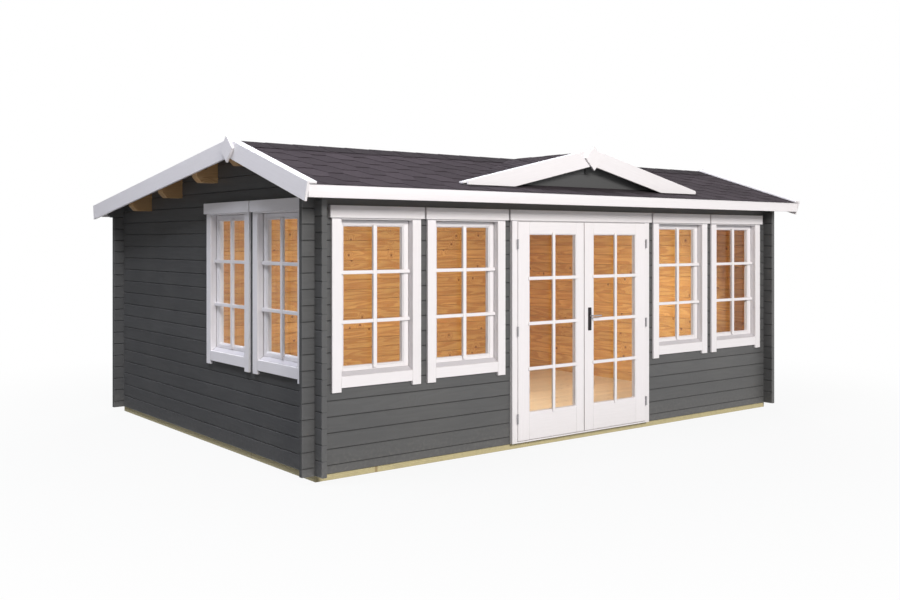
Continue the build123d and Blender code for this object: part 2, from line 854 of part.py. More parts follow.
def window_head_board():
    """The thick board over a window."""
    with BuildPart() as board:
        with Locations((0, -head_board_thickness / 2, head_bottom + head_board_height / 2)):
            Box(window_pitch - head_board_gap, head_board_thickness, head_board_height)
    return board.part


def at_windows(piece):
    """Copies of a window piece at all the windows."""
    with BuildPart() as group:
        for place in front_window_places:
            add(Pos(place, front, front_sill) * piece)
        for place in side_window_places:
            add(Pos(left, place, side_sill) * Rot(0, 0, -90) * piece)
    return group.part


finish(at_windows(window_posts()), "window_frame_posts")
finish(at_windows(window_crosspieces()), "window_frame_rails")
finish(at_windows(window_sash()), "window_sashes")
finish(at_windows(window_glass()), "window_glass")
finish(at_windows(window_casings()), "window_casings")
finish(at_windows(window_rails()), "window_rails")

# Door frame: jambs and head rebated for the leaves, and a low threshold
door_head_bottom = front_lintel - head_board_drop
leaf_top = door_head_bottom - leaf_top_gap
leaf_bottom = wall_foot + door_threshold_height + door_gap
leaf_face = front - leaf_proud
leaf_back = leaf_face + leaf_thickness
stop_plane = front + door_stop_depth
door_frame_half = half_doorway - frame_fit
door_frame_top = front_lintel - frame_fit
with BuildPart() as door_posts:
    for side in (-1, 1):
        with BuildSketch(Plane.XY.offset(wall_foot)):
            with BuildLine():
                Polyline(
                    (side * door_frame_half, frame_front),
                    (side * (door_frame_half - door_jamb_face), frame_front),
                    (side * (door_frame_half - door_jamb_face), stop_plane),
                    (side * (door_frame_half - door_jamb_inner), stop_plane),
                    (side * (door_frame_half - door_jamb_inner), frame_back),
                    (side * door_frame_half, frame_back),
                    close=True,
                )
            make_face()
        extrude(amount=door_frame_top - wall_foot)
finish(door_posts.part, "door_frame_posts")

with BuildPart() as door_rails:
    with BuildSketch(Plane.YZ.offset(door_jamb_face - door_frame_half)):
        with BuildLine():
            Polyline(
                (frame_front, door_frame_top),
                (frame_front, leaf_top + door_gap),
                (stop_plane, leaf_top + door_gap),
                (stop_plane, door_frame_top),
                close=True,
            )
        make_face()
    extrude(amount=2 * (door_frame_half - door_jamb_face))
    with Locations((0, (stop_plane + frame_back) / 2, door_frame_top - door_frame_head / 2)):
        Box(2 * (door_frame_half - door_jamb_inner), frame_back - stop_plane, door_frame_head)
    with Locations((0, (frame_front + stop_plane) / 2, wall_foot + door_threshold_height / 2)):
        Box(2 * (door_frame_half - door_jamb_face), stop_plane - frame_front, door_threshold_height)
    with Locations((0, (stop_plane + frame_back) / 2, wall_foot + door_threshold_height / 2)):
        Box(2 * (door_frame_half - door_jamb_inner), frame_back - stop_plane, door_threshold_height)
finish(door_rails.part, "door_frame_rails")

with BuildPart() as head_boards:
    add(at_windows(window_head_board()))
    with BuildSketch(Plane.YZ.offset(-half_doorway - door_head_reach)):
        with BuildLine():
            Polyline(
                (front - head_board_thickness, door_head_bottom),
                (frame_front, door_head_bottom),
                (frame_front, door_frame_top),
                (front, door_frame_top),
                (front, door_head_bottom + head_board_height),
                (front - head_board_thickness, door_head_bottom + head_board_height),
                close=True,
            )
        make_face()
    extrude(amount=2 * (half_doorway + door_head_reach))
finish(head_boards.part, "head_boards")

# Door leaves: a frame round one pane, with a lattice of bars before the glass
leaf_outer = door_frame_half - door_jamb_face - door_gap
leaf_edges = {
    "left": (-leaf_outer, -door_meeting_shift - door_meeting_gap / 2),
    "right": (-door_meeting_shift + door_meeting_gap / 2, leaf_outer),
}
leaf_glass_y = leaf_face + leaf_thickness / 2
lever_x = leaf_edges["right"][0] + lever_setin
lever_z = wall_foot + lever_level
leaf_pane_width = leaf_outer - leaf_outer_stile - leaf_pane_setout
leaf_pane_bottom = leaf_bottom + leaf_low_rail
leaf_pane_height = leaf_top - leaf_top_rail - leaf_pane_bottom
pane_z = leaf_pane_bottom + leaf_pane_height / 2
leaf_bar_depth = leaf_bar_proud + leaf_moulding
leaf_bar_y = leaf_face - leaf_bar_proud + leaf_bar_depth / 2
leaf_row = (leaf_pane_height + leaf_bar_width) / leaf_pane_rows
leaf_rows = [k - leaf_pane_rows / 2 for k in range(1, leaf_pane_rows)]
spindle_bore = lever_radius + spindle_play

for side, (x_low, x_high) in leaf_edges.items():
    pane_reach = leaf_outer - leaf_outer_stile - leaf_pane_width / 2
    pane_x = -pane_reach if side == "left" else pane_reach
    with BuildPart() as leaf:
        with Locations(((x_low + x_high) / 2, leaf_glass_y, (leaf_bottom + leaf_top) / 2)):
            Box(x_high - x_low, leaf_thickness, leaf_top - leaf_bottom)
        with Locations((pane_x, leaf_glass_y, pane_z)):
            Box(leaf_pane_width, 2 * leaf_thickness, leaf_pane_height, mode=Mode.SUBTRACT)
            Box(
                leaf_pane_width + 2 * (glass_groove + glass_play), glass_thickness + 2 * glass_play,
                leaf_pane_height + 2 * (glass_groove + glass_play), mode=Mode.SUBTRACT,
            )
        with BuildSketch(Plane.XZ.offset(-leaf_face)):
            with Locations((pane_x, pane_z)):
                Rectangle(leaf_pane_width + 2 * leaf_moulding, leaf_pane_height + 2 * leaf_moulding)
        extrude(amount=-leaf_moulding, taper=45, mode=Mode.SUBTRACT)
        with Locations((pane_x, leaf_bar_y, pane_z)):
            Box(leaf_bar_width, leaf_bar_depth, leaf_pane_height + 2 * leaf_bar_overrun)
        with Locations(*[(pane_x, leaf_bar_y, pane_z + row * leaf_row) for row in leaf_rows]):
            Box(leaf_pane_width + 2 * leaf_bar_overrun, leaf_bar_depth, leaf_bar_width)
        if side == "right":
            with Locations(Location((lever_x, leaf_glass_y, lever_z), (90, 0, 0))):
                Cylinder(spindle_bore, 2 * leaf_thickness, mode=Mode.SUBTRACT)
    finish(leaf.part, f"door_leaf_{side}")
    with BuildPart() as glass:
        with Locations((pane_x, leaf_glass_y, pane_z)):
            Box(leaf_pane_width + 2 * glass_groove, glass_thickness, leaf_pane_height + 2 * glass_groove)
    finish(glass.part, f"door_glass_{side}")

# Hinges: a pin with its upper knuckle on the frame, and a sleeve round its lower half on the leaf
pin_x = leaf_outer + hinge_offset
pin_y = leaf_face - hinge_stand
half_hinge = hinge_height / 2
sleeve_height = half_hinge - hinge_drop
with BuildPart() as hinge_pins:
    for side in (-1, 1):
        for level in hinge_levels:
            knuckle_z = wall_foot + level + half_hinge / 2
            with Locations((side * pin_x, pin_y, knuckle_z)):
                Cylinder(hinge_radius, half_hinge)
            with Locations((side * pin_x, pin_y, wall_foot + level)):
                Cylinder(hinge_pin_radius, hinge_height)
            with Locations((side * (pin_x + hinge_radius), (pin_y + frame_front) / 2, knuckle_z)):
                Box(2 * hinge_radius, frame_front - pin_y, half_hinge)
finish(hinge_pins.part, "hinge_pins")

for side_name, side in (("left", -1), ("right", 1)):
    with BuildPart() as sleeves:
        for level in hinge_levels:
            sleeve_z = wall_foot + level - hinge_drop - sleeve_height / 2
            with Locations((side * pin_x, pin_y, sleeve_z)):
                Cylinder(hinge_radius, sleeve_height)
            with Locations((side * (pin_x - hinge_leaf / 2), leaf_face - hinge_plate / 2, sleeve_z)):
                Box(hinge_leaf, hinge_plate, sleeve_height)
            with Locations((side * pin_x, pin_y, sleeve_z)):
                Cylinder(hinge_pin_radius + hinge_play, 2 * sleeve_height, mode=Mode.SUBTRACT)
    finish(sleeves.part, f"hinge_sleeves_{side_name}")

# Handle plates on both faces of the right leaf, and the lever through them
with BuildPart() as handle_plates:
    for middle in (leaf_face - plate_thickness / 2, leaf_back + plate_thickness / 2):
        with Locations((lever_x, middle, wall_foot + plate_middle)):
            Box(plate_width, plate_thickness, plate_height)
    with Locations(Location((lever_x, leaf_glass_y, lever_z), (90, 0, 0))):
        Cylinder(spindle_bore, 4 * leaf_thickness, mode=Mode.SUBTRACT)
finish(handle_plates.part, "handle_plates")

lever_front = leaf_face - lever_stand
lever_back = leaf_back + lever_stand
with BuildPart() as door_lever:
    with BuildLine() as run:
        FilletPolyline(
            (lever_x + lever_length, lever_back, lever_z),
            (lever_x, lever_back, lever_z),
            (lever_x, lever_front, lever_z),
            (lever_x + lever_length, lever_front, lever_z),
            radius=lever_bend,
        )
    lever_run = run.wires()[0]
    with BuildSketch(Plane(lever_run @ 0, z_dir=lever_run % 0)):
        Circle(lever_radius)
    sweep(path=lever_run)
finish(door_lever.part, "door_lever")
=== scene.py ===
"""Dresses a log cabin: squared logs, a felt shingle roof, casements and a glazed double door.

Metres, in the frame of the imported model: +X runs to the right along the front, which faces -Y.
"""

import logging
import math
import random
from dataclasses import dataclass
from enum import Enum
from typing import NamedTuple, Sequence

import bmesh
import bpy
from mathutils import Matrix, Vector


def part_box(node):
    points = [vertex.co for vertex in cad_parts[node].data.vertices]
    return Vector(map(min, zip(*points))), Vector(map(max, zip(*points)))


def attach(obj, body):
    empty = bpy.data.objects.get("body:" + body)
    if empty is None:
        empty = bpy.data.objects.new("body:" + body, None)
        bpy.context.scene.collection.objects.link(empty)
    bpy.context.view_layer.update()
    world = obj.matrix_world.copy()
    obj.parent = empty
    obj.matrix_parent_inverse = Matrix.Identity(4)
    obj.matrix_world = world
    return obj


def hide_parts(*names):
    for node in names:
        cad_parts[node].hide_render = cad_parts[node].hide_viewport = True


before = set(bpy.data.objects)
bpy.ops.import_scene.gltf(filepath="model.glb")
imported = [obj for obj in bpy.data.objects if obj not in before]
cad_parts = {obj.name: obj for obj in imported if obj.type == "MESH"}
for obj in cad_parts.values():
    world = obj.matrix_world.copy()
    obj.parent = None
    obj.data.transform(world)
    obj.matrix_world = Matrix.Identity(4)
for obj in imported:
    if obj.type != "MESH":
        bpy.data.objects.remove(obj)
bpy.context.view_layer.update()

logging.basicConfig(level=logging.INFO, format="%(message)s")
log = logging.getLogger("cabin")

Point = tuple[float, float]
Colour = tuple[float, float, float, float]
Socket = bpy.types.NodeSocket


class Body(Enum):
    """The moving bodies that pieces ride on."""

    SHELL = "shell"
    LEFT_LEAF = "leaf_left"
    RIGHT_LEAF = "leaf_right"
    LEVER = "lever"


class Slot(Enum):
    """The record's material slots."""

    LOGS = "painted_logs"
    BASE = "treated_timber"
    FLOOR = "floor_boards"
    ROOF = "roof_timber"
    FELT = "shingles"
    TRIM = "white_trim"
    GLASS = "glass"
    HINGE = "hinge_metal"
    HANDLE = "handle_metal"


class Run(Enum):
    """Which way the logs of a wall run."""

    ALONG_X = 0
    ALONG_Y = 1


ALONG_X = Vector((1, 0, 0))
ALONG_Y = Vector((0, 1, 0))
ALONG_Z = Vector((0, 0, 1))


def shade(red: int, green: int, blue: int) -> Colour:
    """Returns a colour written in 0 to 255 as the linear values that nodes take."""
    parts = [c / 255 for c in (red, green, blue)]
    return (*[c / 12.92 if c <= 0.04045 else ((c + 0.055) / 1.055) ** 2.4 for c in parts], 1.0)


def clipped(outline: Sequence[Point], region: Sequence[Point]) -> list[Point]:
    """Cuts an outline to a convex region.

    Args:
        outline: Corners of the outline, in order.
        region: Corners of the region, anticlockwise.

    Returns:
        The corners that are left, or an empty list.
    """
    kept = list(outline)
    for (ax, ay), (bx, by) in zip(region, [*region[1:], region[0]]):
        sides = [(bx - ax) * (y - ay) - (by - ay) * (x - ax) for x, y in kept]
        made: list[Point] = []
        for i, (x, y) in enumerate(kept):
            j = (i + 1) % len(kept)
            if sides[i] >= 0:
                made.append((x, y))
            if (sides[i] >= 0) != (sides[j] >= 0):
                t = sides[i] / (sides[i] - sides[j])
                made.append((x + t * (kept[j][0] - x), y + t * (kept[j][1] - y)))
        kept = made
    tidy = [p for i, p in enumerate(kept) if math.dist(p, kept[i - 1]) > 1e-5]
    return tidy if len(tidy) > 2 else []


@dataclass(frozen=True)
class Cabin:
    """Main planes of the cabin."""

    front: float = -1.898
    back: float = 1.898
    left: float = -2.652
    right: float = 2.652
    ridge_y: float = -0.948
    ridge_z: float = 2.460
    front_pitch: float = math.radians(17.5)
    rear_pitch: float = math.radians(7.85)
    deck_end: float = 2.118
    verge: float = 2.837
    strip_inside: float = 2.782
    shingle: float = 0.006
    log_height: float = 0.114
    log_thickness: float = 0.044
    joint_x_walls: float = 0.107
    joint_y_walls: float = 0.050

    def pitch(self, y: float) -> float:
        """Returns the pitch of the slope that y lies on."""
        return self.front_pitch if y <= self.ridge_y else self.rear_pitch

    def roof_point(self, x: float, y: float, lift: float) -> Vector:
        """Returns the point plumb over (x, y) on a plane lifted square off the roof boards.

        Args:
            x: Place along the ridge.
            y: Place across it.
            lift: Distance off the top of the roof boards.

        Returns:
            The point.
        """
        pitch = self.pitch(y)
        fall = abs(self.ridge_y - y) * math.tan(pitch)
        return Vector((x, y, self.ridge_z + lift / math.cos(pitch) - fall))


CABIN = Cabin()


@dataclass(frozen=True)
class Slope:
    """A roof plane: a point of its ridge on the boards, the way down it and the way along it."""

    ridge: Vector
    down: Vector
    along: Vector

    def at(self, along: float, down: float, lift: float) -> Vector:
        """Returns the point so far along the ridge, down the slope and off the boards."""
        square = self.along.cross(self.down).normalized()
        if square.z < 0:
            square.negate()
        return self.ridge + self.along * along + self.down * down + square * lift


def main_slope(pitch: float, way: int) -> Slope:
    """Returns the main roof's slope that falls towards -Y or +Y."""
    down = Vector((0, way * math.cos(pitch), -math.sin(pitch)))
    return Slope(Vector((0, CABIN.ridge_y, CABIN.ridge_z)), down, ALONG_X)


def placed(
    name: str, data: bpy.types.ID, unseen_by: Sequence[str] = ()
) -> bpy.types.Object:
    """Puts a mesh, lamp or camera in the scene.

    Args:
        name: Its name.
        data: What it shows.
        unseen_by: The kinds of rays that pass it by.

    Returns:
        The object.
    """
    thing = bpy.data.objects.new(name, data)
    bpy.context.scene.collection.objects.link(thing)
    for kind in unseen_by:
        setattr(thing, f"visible_{kind}", False)
    return thing


class Joinery:
    """Collects the boards of one piece in one mesh.

    Each board carries "place", its own coordinates along and across the tree that it was sawn from,
    "tint", a number of its own, and "edge", which is 1 on its eased edges.
    """

    TRUNK = 60.0  # length of trunk that boards are sawn from
    HEART_OFF = 0.35  # most that a tree's heart lies off a board's middle, in board widths
    HEART_DEPTH = (0.02, 0.06)  # how far it lies before or behind the board
    EASED_TURN = 0.45  # edges that turn by more are eased
    CRISP_TURN = math.radians(20)  # edges that turn by more are shaded as edges
    WELD = 2e-5  # packed corners this close are one corner
    LEVEL = math.radians(0.6)  # packed faces that turn by less are one face

    def __init__(self, name: str, seed: int) -> None:
        """Starts an empty piece."""
        self.name = name
        self.dice = random.Random(seed)
        self.mesh = bmesh.new()
        self.place = self.mesh.loops.layers.float_vector.new("place")
        self.tint = self.mesh.loops.layers.float.new("tint")
        self.edge = self.mesh.loops.layers.float.new("edge")
        self.at = Matrix.Identity(4)
        self.to_ease: dict[float, list[bmesh.types.BMEdge]] = {}

    def solid(
        self, points: Sequence[Vector], faces: Sequence[Sequence[int]], grain: Vector,
        ease: float = 0.0,
    ) -> None:
        """Adds one closed board.

        Args:
            points: Its corners.
            faces: Its faces, as places in points.
            grain: The way the wood runs.
            ease: How far its sharp edges are rounded.
        """
        world = [self.at @ p for p in points]
        run = (self.at.to_3x3() @ grain).normalized()
        one = run.cross(ALONG_Z if abs(run.z) < 0.9 else ALONG_X).normalized()
        spans = []
        for axis in (one, run.cross(one).normalized()):
            reach = [axis.dot(p) for p in world]
            spans.append((max(reach) - min(reach), (max(reach) + min(reach)) / 2, axis))
        (width, middle, across), (_, core, through) = sorted(spans, key=lambda span: -span[0])
        start = self.dice.uniform(0, self.TRUNK)
        heart = self.dice.uniform(-self.HEART_OFF, self.HEART_OFF) * width
        depth = self.dice.choice((-1, 1)) * self.dice.uniform(*self.HEART_DEPTH)
        tint = self.dice.random()
        verts = [self.mesh.verts.new(p) for p in world]
        edges: dict[bmesh.types.BMEdge, None] = {}
        for corners in faces:
            face = self.mesh.faces.new([verts[i] for i in corners])
            edges.update(dict.fromkeys(face.edges))
            for loop in face.loops:
                p = loop.vert.co
                loop[self.place] = Vector((
                    run.dot(p) + start,
                    across.dot(p) - middle + heart,
                    through.dot(p) - core + depth,
                ))
                loop[self.tint] = tint
        if ease:
            self.to_ease.setdefault(ease, []).extend(edges)

    def skin(
        self, first: Sequence[Vector], last: Sequence[Vector], grain: Vector, ease: float = 0.0
    ) -> None:
        """Adds a board between two end outlines of as many corners each."""
        n = len(first)
        faces = [tuple(reversed(range(n))), tuple(range(n, 2 * n))]
        faces += [(i, (i + 1) % n, n + (i + 1) % n, n + i) for i in range(n)]
        self.solid([*first, *last], faces, grain, ease)

    def box(
        self, corner: Sequence[float], opposite: Sequence[float], grain: Vector, ease: float
    ) -> None:
        """Adds a square-cut board between two opposite corners."""
        wide, deep, high = (sorted(span) for span in zip(corner, opposite))
        corners = ((0, 0), (1, 0), (1, 1), (0, 1))
        ends = [[Vector((wide[a], deep[b], z)) for a, b in corners] for z in high]
        self.skin(*ends, grain, ease)

    def mitred(self, middle: Point, half: Point, profile: Sequence[Point]) -> None:
        """Adds four mitred lengths round a rectangle that stands in X and Z.

        Args:
            middle: The rectangle's middle.
            half: Half its width and half its height.
            profile: The section: distance out from the rectangle, and Y.
        """
        corners = ((-1, -1), (1, -1), (1, 1), (-1, 1))
        ends = [
            [
                Vector((middle[0] + a * (half[0] + out), y, middle[1] + b * (half[1] + out)))
                for out, y in profile
            ]
            for a, b in corners
        ]
        for i in range(4):
            grain = ALONG_X if i % 2 == 0 else ALONG_Z
            self.skin(ends[i], ends[(i + 1) % 4], grain)

    def turned(
        self, foot: Vector, axis: Vector, profile: Sequence[Point], sides: int = 32
    ) -> None:
        """Adds a round piece.

        Args:
            foot: Where its axis starts.
            axis: The way the axis runs.
            profile: Radius and distance along the axis, from end to end.
            sides: How many sides the circles have.
        """
        across = axis.cross(ALONG_X if abs(axis.x) < 0.5 else ALONG_Z).normalized()
        other = axis.cross(across).normalized()
        points = []
        for radius, along in profile:
            for i in range(sides):
                turn = math.tau * i / sides
                points.append(
                    foot + axis * along
                    + across * (radius * math.cos(turn)) + other * (radius * math.sin(turn))
                )
        self.rings(points, sides, axis)

    def tube(self, path: Sequence[Vector], radii: Sequence[float], sides: int = 24) -> None:
        """Adds a round bar along a level path, with a radius at each of its points."""
        points = []
        for i, (p, radius) in enumerate(zip(path, radii)):
            ahead = (path[min(i + 1, len(path) - 1)] - path[max(i - 1, 0)]).normalized()
            across = ahead.cross(ALONG_Z).normalized()
            for k in range(sides):
                turn = math.tau * k / sides
                points.append(p + (across * math.cos(turn) + ALONG_Z * math.sin(turn)) * radius)
        self.rings(points, sides, ALONG_X)

    def rings(self, points: Sequence[Vector], sides: int, grain: Vector) -> None:
        """Adds a solid of rings of points that follow each other."""
        count = len(points) // sides
        faces: list[tuple[int, ...]] = [tuple(reversed(range(sides)))]
        faces.append(tuple(range((count - 1) * sides, count * sides)))
        for k in range(count - 1):
            low = k * sides
            for i in range(sides):
                j = (i + 1) % sides
                faces.append((low + i, low + j, low + sides + j, low + sides + i))
        self.solid(points, faces, grain)

    def from_node(self, node: str, ease: float) -> None:
        """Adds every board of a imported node, each with its grain along its longest edge.

        Args:
            node: The node's name.
            ease: How far sharp edges are rounded.
        """
        source = bmesh.new()
        source.from_mesh(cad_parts[node].data)
        bmesh.ops.remove_doubles(source, verts=source.verts, dist=self.WELD)
        bmesh.ops.dissolve_limit(
            source, angle_limit=self.LEVEL, verts=source.verts, edges=source.edges
        )
        seen: set[bmesh.types.BMVert] = set()
        for first in source.verts:
            if first in seen:
                continue
            seen.add(first)
            island = [first]
            for vert in island:  # which grows as it is read
                for edge in vert.link_edges:
                    other = edge.other_vert(vert)
                    if other not in seen:
                        seen.add(other)
                        island.append(other)
            number = {vert: i for i, vert in enumerate(island)}
            found = dict.fromkeys(face for vert in island for face in vert.link_faces)
            edges = dict.fromkeys(edge for face in found for edge in face.edges)
            if not edges:
                continue
            long = max(edges, key=lambda e: e.calc_length())
            self.solid(
                [vert.co.copy() for vert in island],
                [[number[vert] for vert in face.verts] for face in found],
                long.verts[1].co - long.verts[0].co,
                ease,
            )
        source.free()

    def lattice(
        self, middle: Point, reach: Point, bars: Point, depth: Point, rows: int, pitch: float,
        ease: float,
    ) -> None:
        """Adds an upright glazing bar and the crossbars on both its sides.

        Args:
            middle: X and Z of the lattice's middle.
            reach: How far the crossbars and the upright run from it.
            bars: Half the width of the upright and of the crossbars.
            depth: Y of the bars' two faces.
            rows: How many rows of panes there are.
            pitch: Distance from one crossbar to the next.
            ease: How far sharp edges are rounded.
        """
        x, z = middle
        post, bar = bars
        near, far = depth
        self.box((x - post, near, z - reach[1]), (x + post, far, z + reach[1]), ALONG_Z, ease)
        for k in range(1, rows):
            level = z + (k - rows / 2) * pitch
            for side in (-1, 1):
                self.box(
                    (x + side * post, near, level - bar),
                    (x + side * reach[0], far, level + bar), ALONG_X, ease,
                )

    def make(
        self,
        body: Body,
        material: bpy.types.Material,
        replaces: Sequence[str],
        segments: int = 2,
    ) -> bpy.types.Object:
        """Turns the boards into one piece on a body.

        Args:
            body: The body it rides on.
            material: Its finish.
            replaces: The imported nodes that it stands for.
            segments: Faces across each eased edge.

        Returns:
            The piece.
        """
        bmesh.ops.recalc_face_normals(self.mesh, faces=self.mesh.faces)
        for ease, edges in self.to_ease.items():
            sharp = [
                e for e in edges
                if e.is_manifold and e.is_convex and e.calc_face_angle() > self.EASED_TURN
            ]
            made = bmesh.ops.bevel(
                self.mesh, geom=sharp, offset=ease, offset_type="OFFSET", segments=segments,
                profile=0.5, affect="EDGES", clamp_overlap=True,
            )
            for face in made["faces"]:
                for loop in face.loops:
                    loop[self.edge] = 1.0
        data = bpy.data.meshes.new(self.name)
        self.mesh.to_mesh(data)
        self.mesh.free()
        data.set_sharp_from_angle(angle=self.CRISP_TURN)
        data.materials.append(material)
        thing = placed(self.name, data)
        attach(thing, body.value)
        if replaces:
            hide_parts(*replaces)
        log.info("%s: %d faces, %s", self.name, len(data.polygons), ", ".join(replaces) or "added")
        return thing


def eased_copies(
    pieces: Sequence[tuple[str, str, int]], ease: float, material: bpy.types.Material
) -> None:
    """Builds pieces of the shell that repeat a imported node's boards with eased edges.

    Args:
        pieces: Each piece's name, its node and its seed.
        ease: How far sharp edges are rounded.
        material: Their finish.
    """
    for name, node, seed in pieces:
        piece = Joinery(name, seed)
        piece.from_node(node, ease)
        piece.make(Body.SHELL, material, [node])


def moulding(section: Sequence[Point], face: float, back: float) -> list[Point]:
    """Returns the section of a moulded pane edge, for Joinery.mitred.

    Args:
        section: Distance out from the pane and depth behind the face, from the outside in.
        face: Y of the outer face.
        back: Y of the inner face, whose edge at the pane is cut off.

    Returns:
        Distance out from the pane and Y, in order round the section.
    """
    cut_off = 0.002
    front = [(out, face + depth) for out, depth in section]
    return [*front, (0.0, back - cut_off), (cut_off, back), (section[0][0], back)]


def dress(material: bpy.types.Material, *nodes: str) -> None:
    """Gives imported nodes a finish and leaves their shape."""
    for node in nodes:
        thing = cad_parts[node]
        if not thing.material_slots:
            thing.data.materials.append(None)
        for slot in thing.material_slots:
            slot.material = material
        log.info("%s: dressed with %s", node, material.name)


class Graph:
    """Adds nodes to a tree and links them."""

    def __init__(self, tree: bpy.types.NodeTree) -> None:
        """Keeps the tree."""
        self.tree = tree

    def feed(self, socket: Socket, value: object) -> None:
        """Links a socket to another, or sets its value."""
        if isinstance(value, bpy.types.NodeSocket):
            self.tree.links.new(value, socket)
        else:
            socket.default_value = value

    def node(
        self, kind: str, inputs: dict[object, object] | None = None, **settings: object
    ) -> bpy.types.Node:
        """Adds a node.

        Args:
            kind: Its type.
            inputs: Sockets to link or set.
            settings: Its other settings.

        Returns:
            The node.
        """
        made = self.tree.nodes.new(kind)
        for name, value in settings.items():
            setattr(made, name, value)
        for name, value in (inputs or {}).items():
            self.feed(made.inputs[name], value)
        return made

    def group(self, tree: bpy.types.NodeTree, inputs: dict[object, object]) -> bpy.types.Node:
        """Places a node group with its own values."""
        made = self.tree.nodes.new("ShaderNodeGroup")
        made.node_tree = tree
        for name, value in inputs.items():
            self.feed(made.inputs[name], value)
        return made

    def math(self, operation: str, *values: object, clamp: bool = False) -> Socket:
        """Returns the result of a sum."""
        made = self.node("ShaderNodeMath", dict(enumerate(values)), operation=operation)
        made.use_clamp = clamp
        return made.outputs[0]

    def plus(self, first: object, second: object, clamp: bool = False) -> Socket:
        """Returns two values added up."""
        return self.math("ADD", first, second, clamp=clamp)

    def times(self, first: object, second: object) -> Socket:
        """Returns two values multiplied."""
        return self.math("MULTIPLY", first, second)

    def vector(self, operation: str, *values: object) -> Socket:
        """Returns the result of a sum on vectors, which for LENGTH is a number."""
        made = self.node("ShaderNodeVectorMath", dict(enumerate(values)), operation=operation)
        return made.outputs["Value" if operation == "LENGTH" else "Vector"]

    def blend(self, factor: object, first: object, second: object, mode: str = "MIX") -> Socket:
        """Returns a mix of two colours."""
        made = self.node("ShaderNodeMix", data_type="RGBA", blend_type=mode)
        for place, value in ((0, factor), (6, first), (7, second)):
            self.feed(made.inputs[place], value)
        return made.outputs[2]

    def step(
        self, value: object, start: float, end: float, low: float = 0.0, high: float = 1.0
    ) -> Socket:
        """Returns a soft step from low to high as value goes from start to end."""
        made = self.node("ShaderNodeMapRange", {0: value}, interpolation_type="SMOOTHSTEP")
        for place, number in enumerate((start, end, low, high), 1):
            made.inputs[place].default_value = number
        return made.outputs[0]

    def noise(self, vector: object, scale: float, detail: float = 2.0) -> Socket:
        """Returns soft noise from 0 to 1."""
        return self.node(
            "ShaderNodeTexNoise", {"Vector": vector, "Scale": scale, "Detail": detail}
        ).outputs[0]

    def bump(
        self, shader: bpy.types.Node, strength: float, distance: float, height: Socket
    ) -> None:
        """Roughens a shader's surface by a height."""
        values = {"Strength": strength, "Distance": distance, "Height": height}
        self.feed(shader.inputs["Normal"], self.node("ShaderNodeBump", values).outputs[0])

    def mixed_output(
        self, kind: str, factor: object, first: bpy.types.Node, second: bpy.types.Node
    ) -> None:
        """Ends the graph in an output that mixes two shaders."""
        inputs = {0: factor, 1: first.outputs[0], 2: second.outputs[0]}
        mixed = self.node("ShaderNodeMixShader", inputs)
        self.node(kind, {"Surface": mixed.outputs[0]})

    def attribute(self, name: str) -> bpy.types.Node:
        """Returns a node that reads one of the boards' own layers."""
        return self.node("ShaderNodeAttribute", attribute_name=name)

    def position(self) -> Socket:
        """Returns the place on the object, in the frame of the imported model."""
        return self.node("ShaderNodeTexCoord").outputs["Object"]


def new_group(
    name: str, inputs: dict[str, object], outputs: dict[str, str]
) -> tuple[Graph, bpy.types.Node, bpy.types.Node]:
    """Starts a node group.

    Args:
        name: Its name.
        inputs: Its inputs' names and starting values.
        outputs: Its outputs' names and socket types.

    Returns:
        Its graph, its input node and its output node.
    """
    tree = bpy.data.node_groups.new(name, "ShaderNodeTree")
    for label, value in inputs.items():
        kind = "NodeSocketFloat" if isinstance(value, float) else "NodeSocketVector"
        tree.interface.new_socket(label, in_out="INPUT", socket_type=kind).default_value = value
    for label, kind in outputs.items():
        tree.interface.new_socket(label, in_out="OUTPUT", socket_type=kind)
    graph = Graph(tree)
    return graph, graph.node("NodeGroupInput"), graph.node("NodeGroupOutput")


def wood_figure() -> bpy.types.NodeTree:
    """Returns the group that draws year rings, fibres and knots from a place in the tree."""
    g, given, out = new_group(
        "Wood figure",
        {"Place": (0.0, 0.0, 0.0), "Ring Spacing": 0.006, "Knot Share": 0.5},
        {"Rings": "NodeSocketFloat", "Fibre": "NodeSocketFloat", "Knot": "NodeSocketFloat"},
    )
    place = given.outputs["Place"]
    sway = g.noise(g.vector("MULTIPLY", place, (0.55, 5.0, 5.0)), 1.6, 2.0)
    cells = g.node(
        "ShaderNodeTexVoronoi", {"Vector": place, "Scale": 5.2}, voronoi_dimensions="2D"
    )
    lot = g.node("ShaderNodeSeparateColor", {0: cells.outputs["Color"]}).outputs[0]
    there = g.math("LESS_THAN", lot, given.outputs["Knot Share"])
    near = cells.outputs["Distance"]
    knot = g.times(g.step(near, 0.095, 0.05), there)
    round_knot = g.times(g.step(near, 0.40, 0.06), there)
    section = g.vector("MULTIPLY", place, (0.0, 1.0, 1.0))
    radius = g.plus(g.vector("LENGTH", section), g.times(sway, 0.045))
    radius = g.plus(radius, g.times(round_knot, 0.012))
    turn = g.math("FRACT", g.math("DIVIDE", radius, given.outputs["Ring Spacing"]))
    rings = g.times(g.step(turn, 0.0, 0.85), g.step(turn, 1.0, 0.9))
    fibre = g.noise(g.vector("MULTIPLY", place, (5.0, 260.0, 260.0)), 1.0, 3.0)
    g.feed(out.inputs["Rings"], rings)
    g.feed(out.inputs["Fibre"], fibre)
    g.feed(out.inputs["Knot"], knot)
    return g.tree


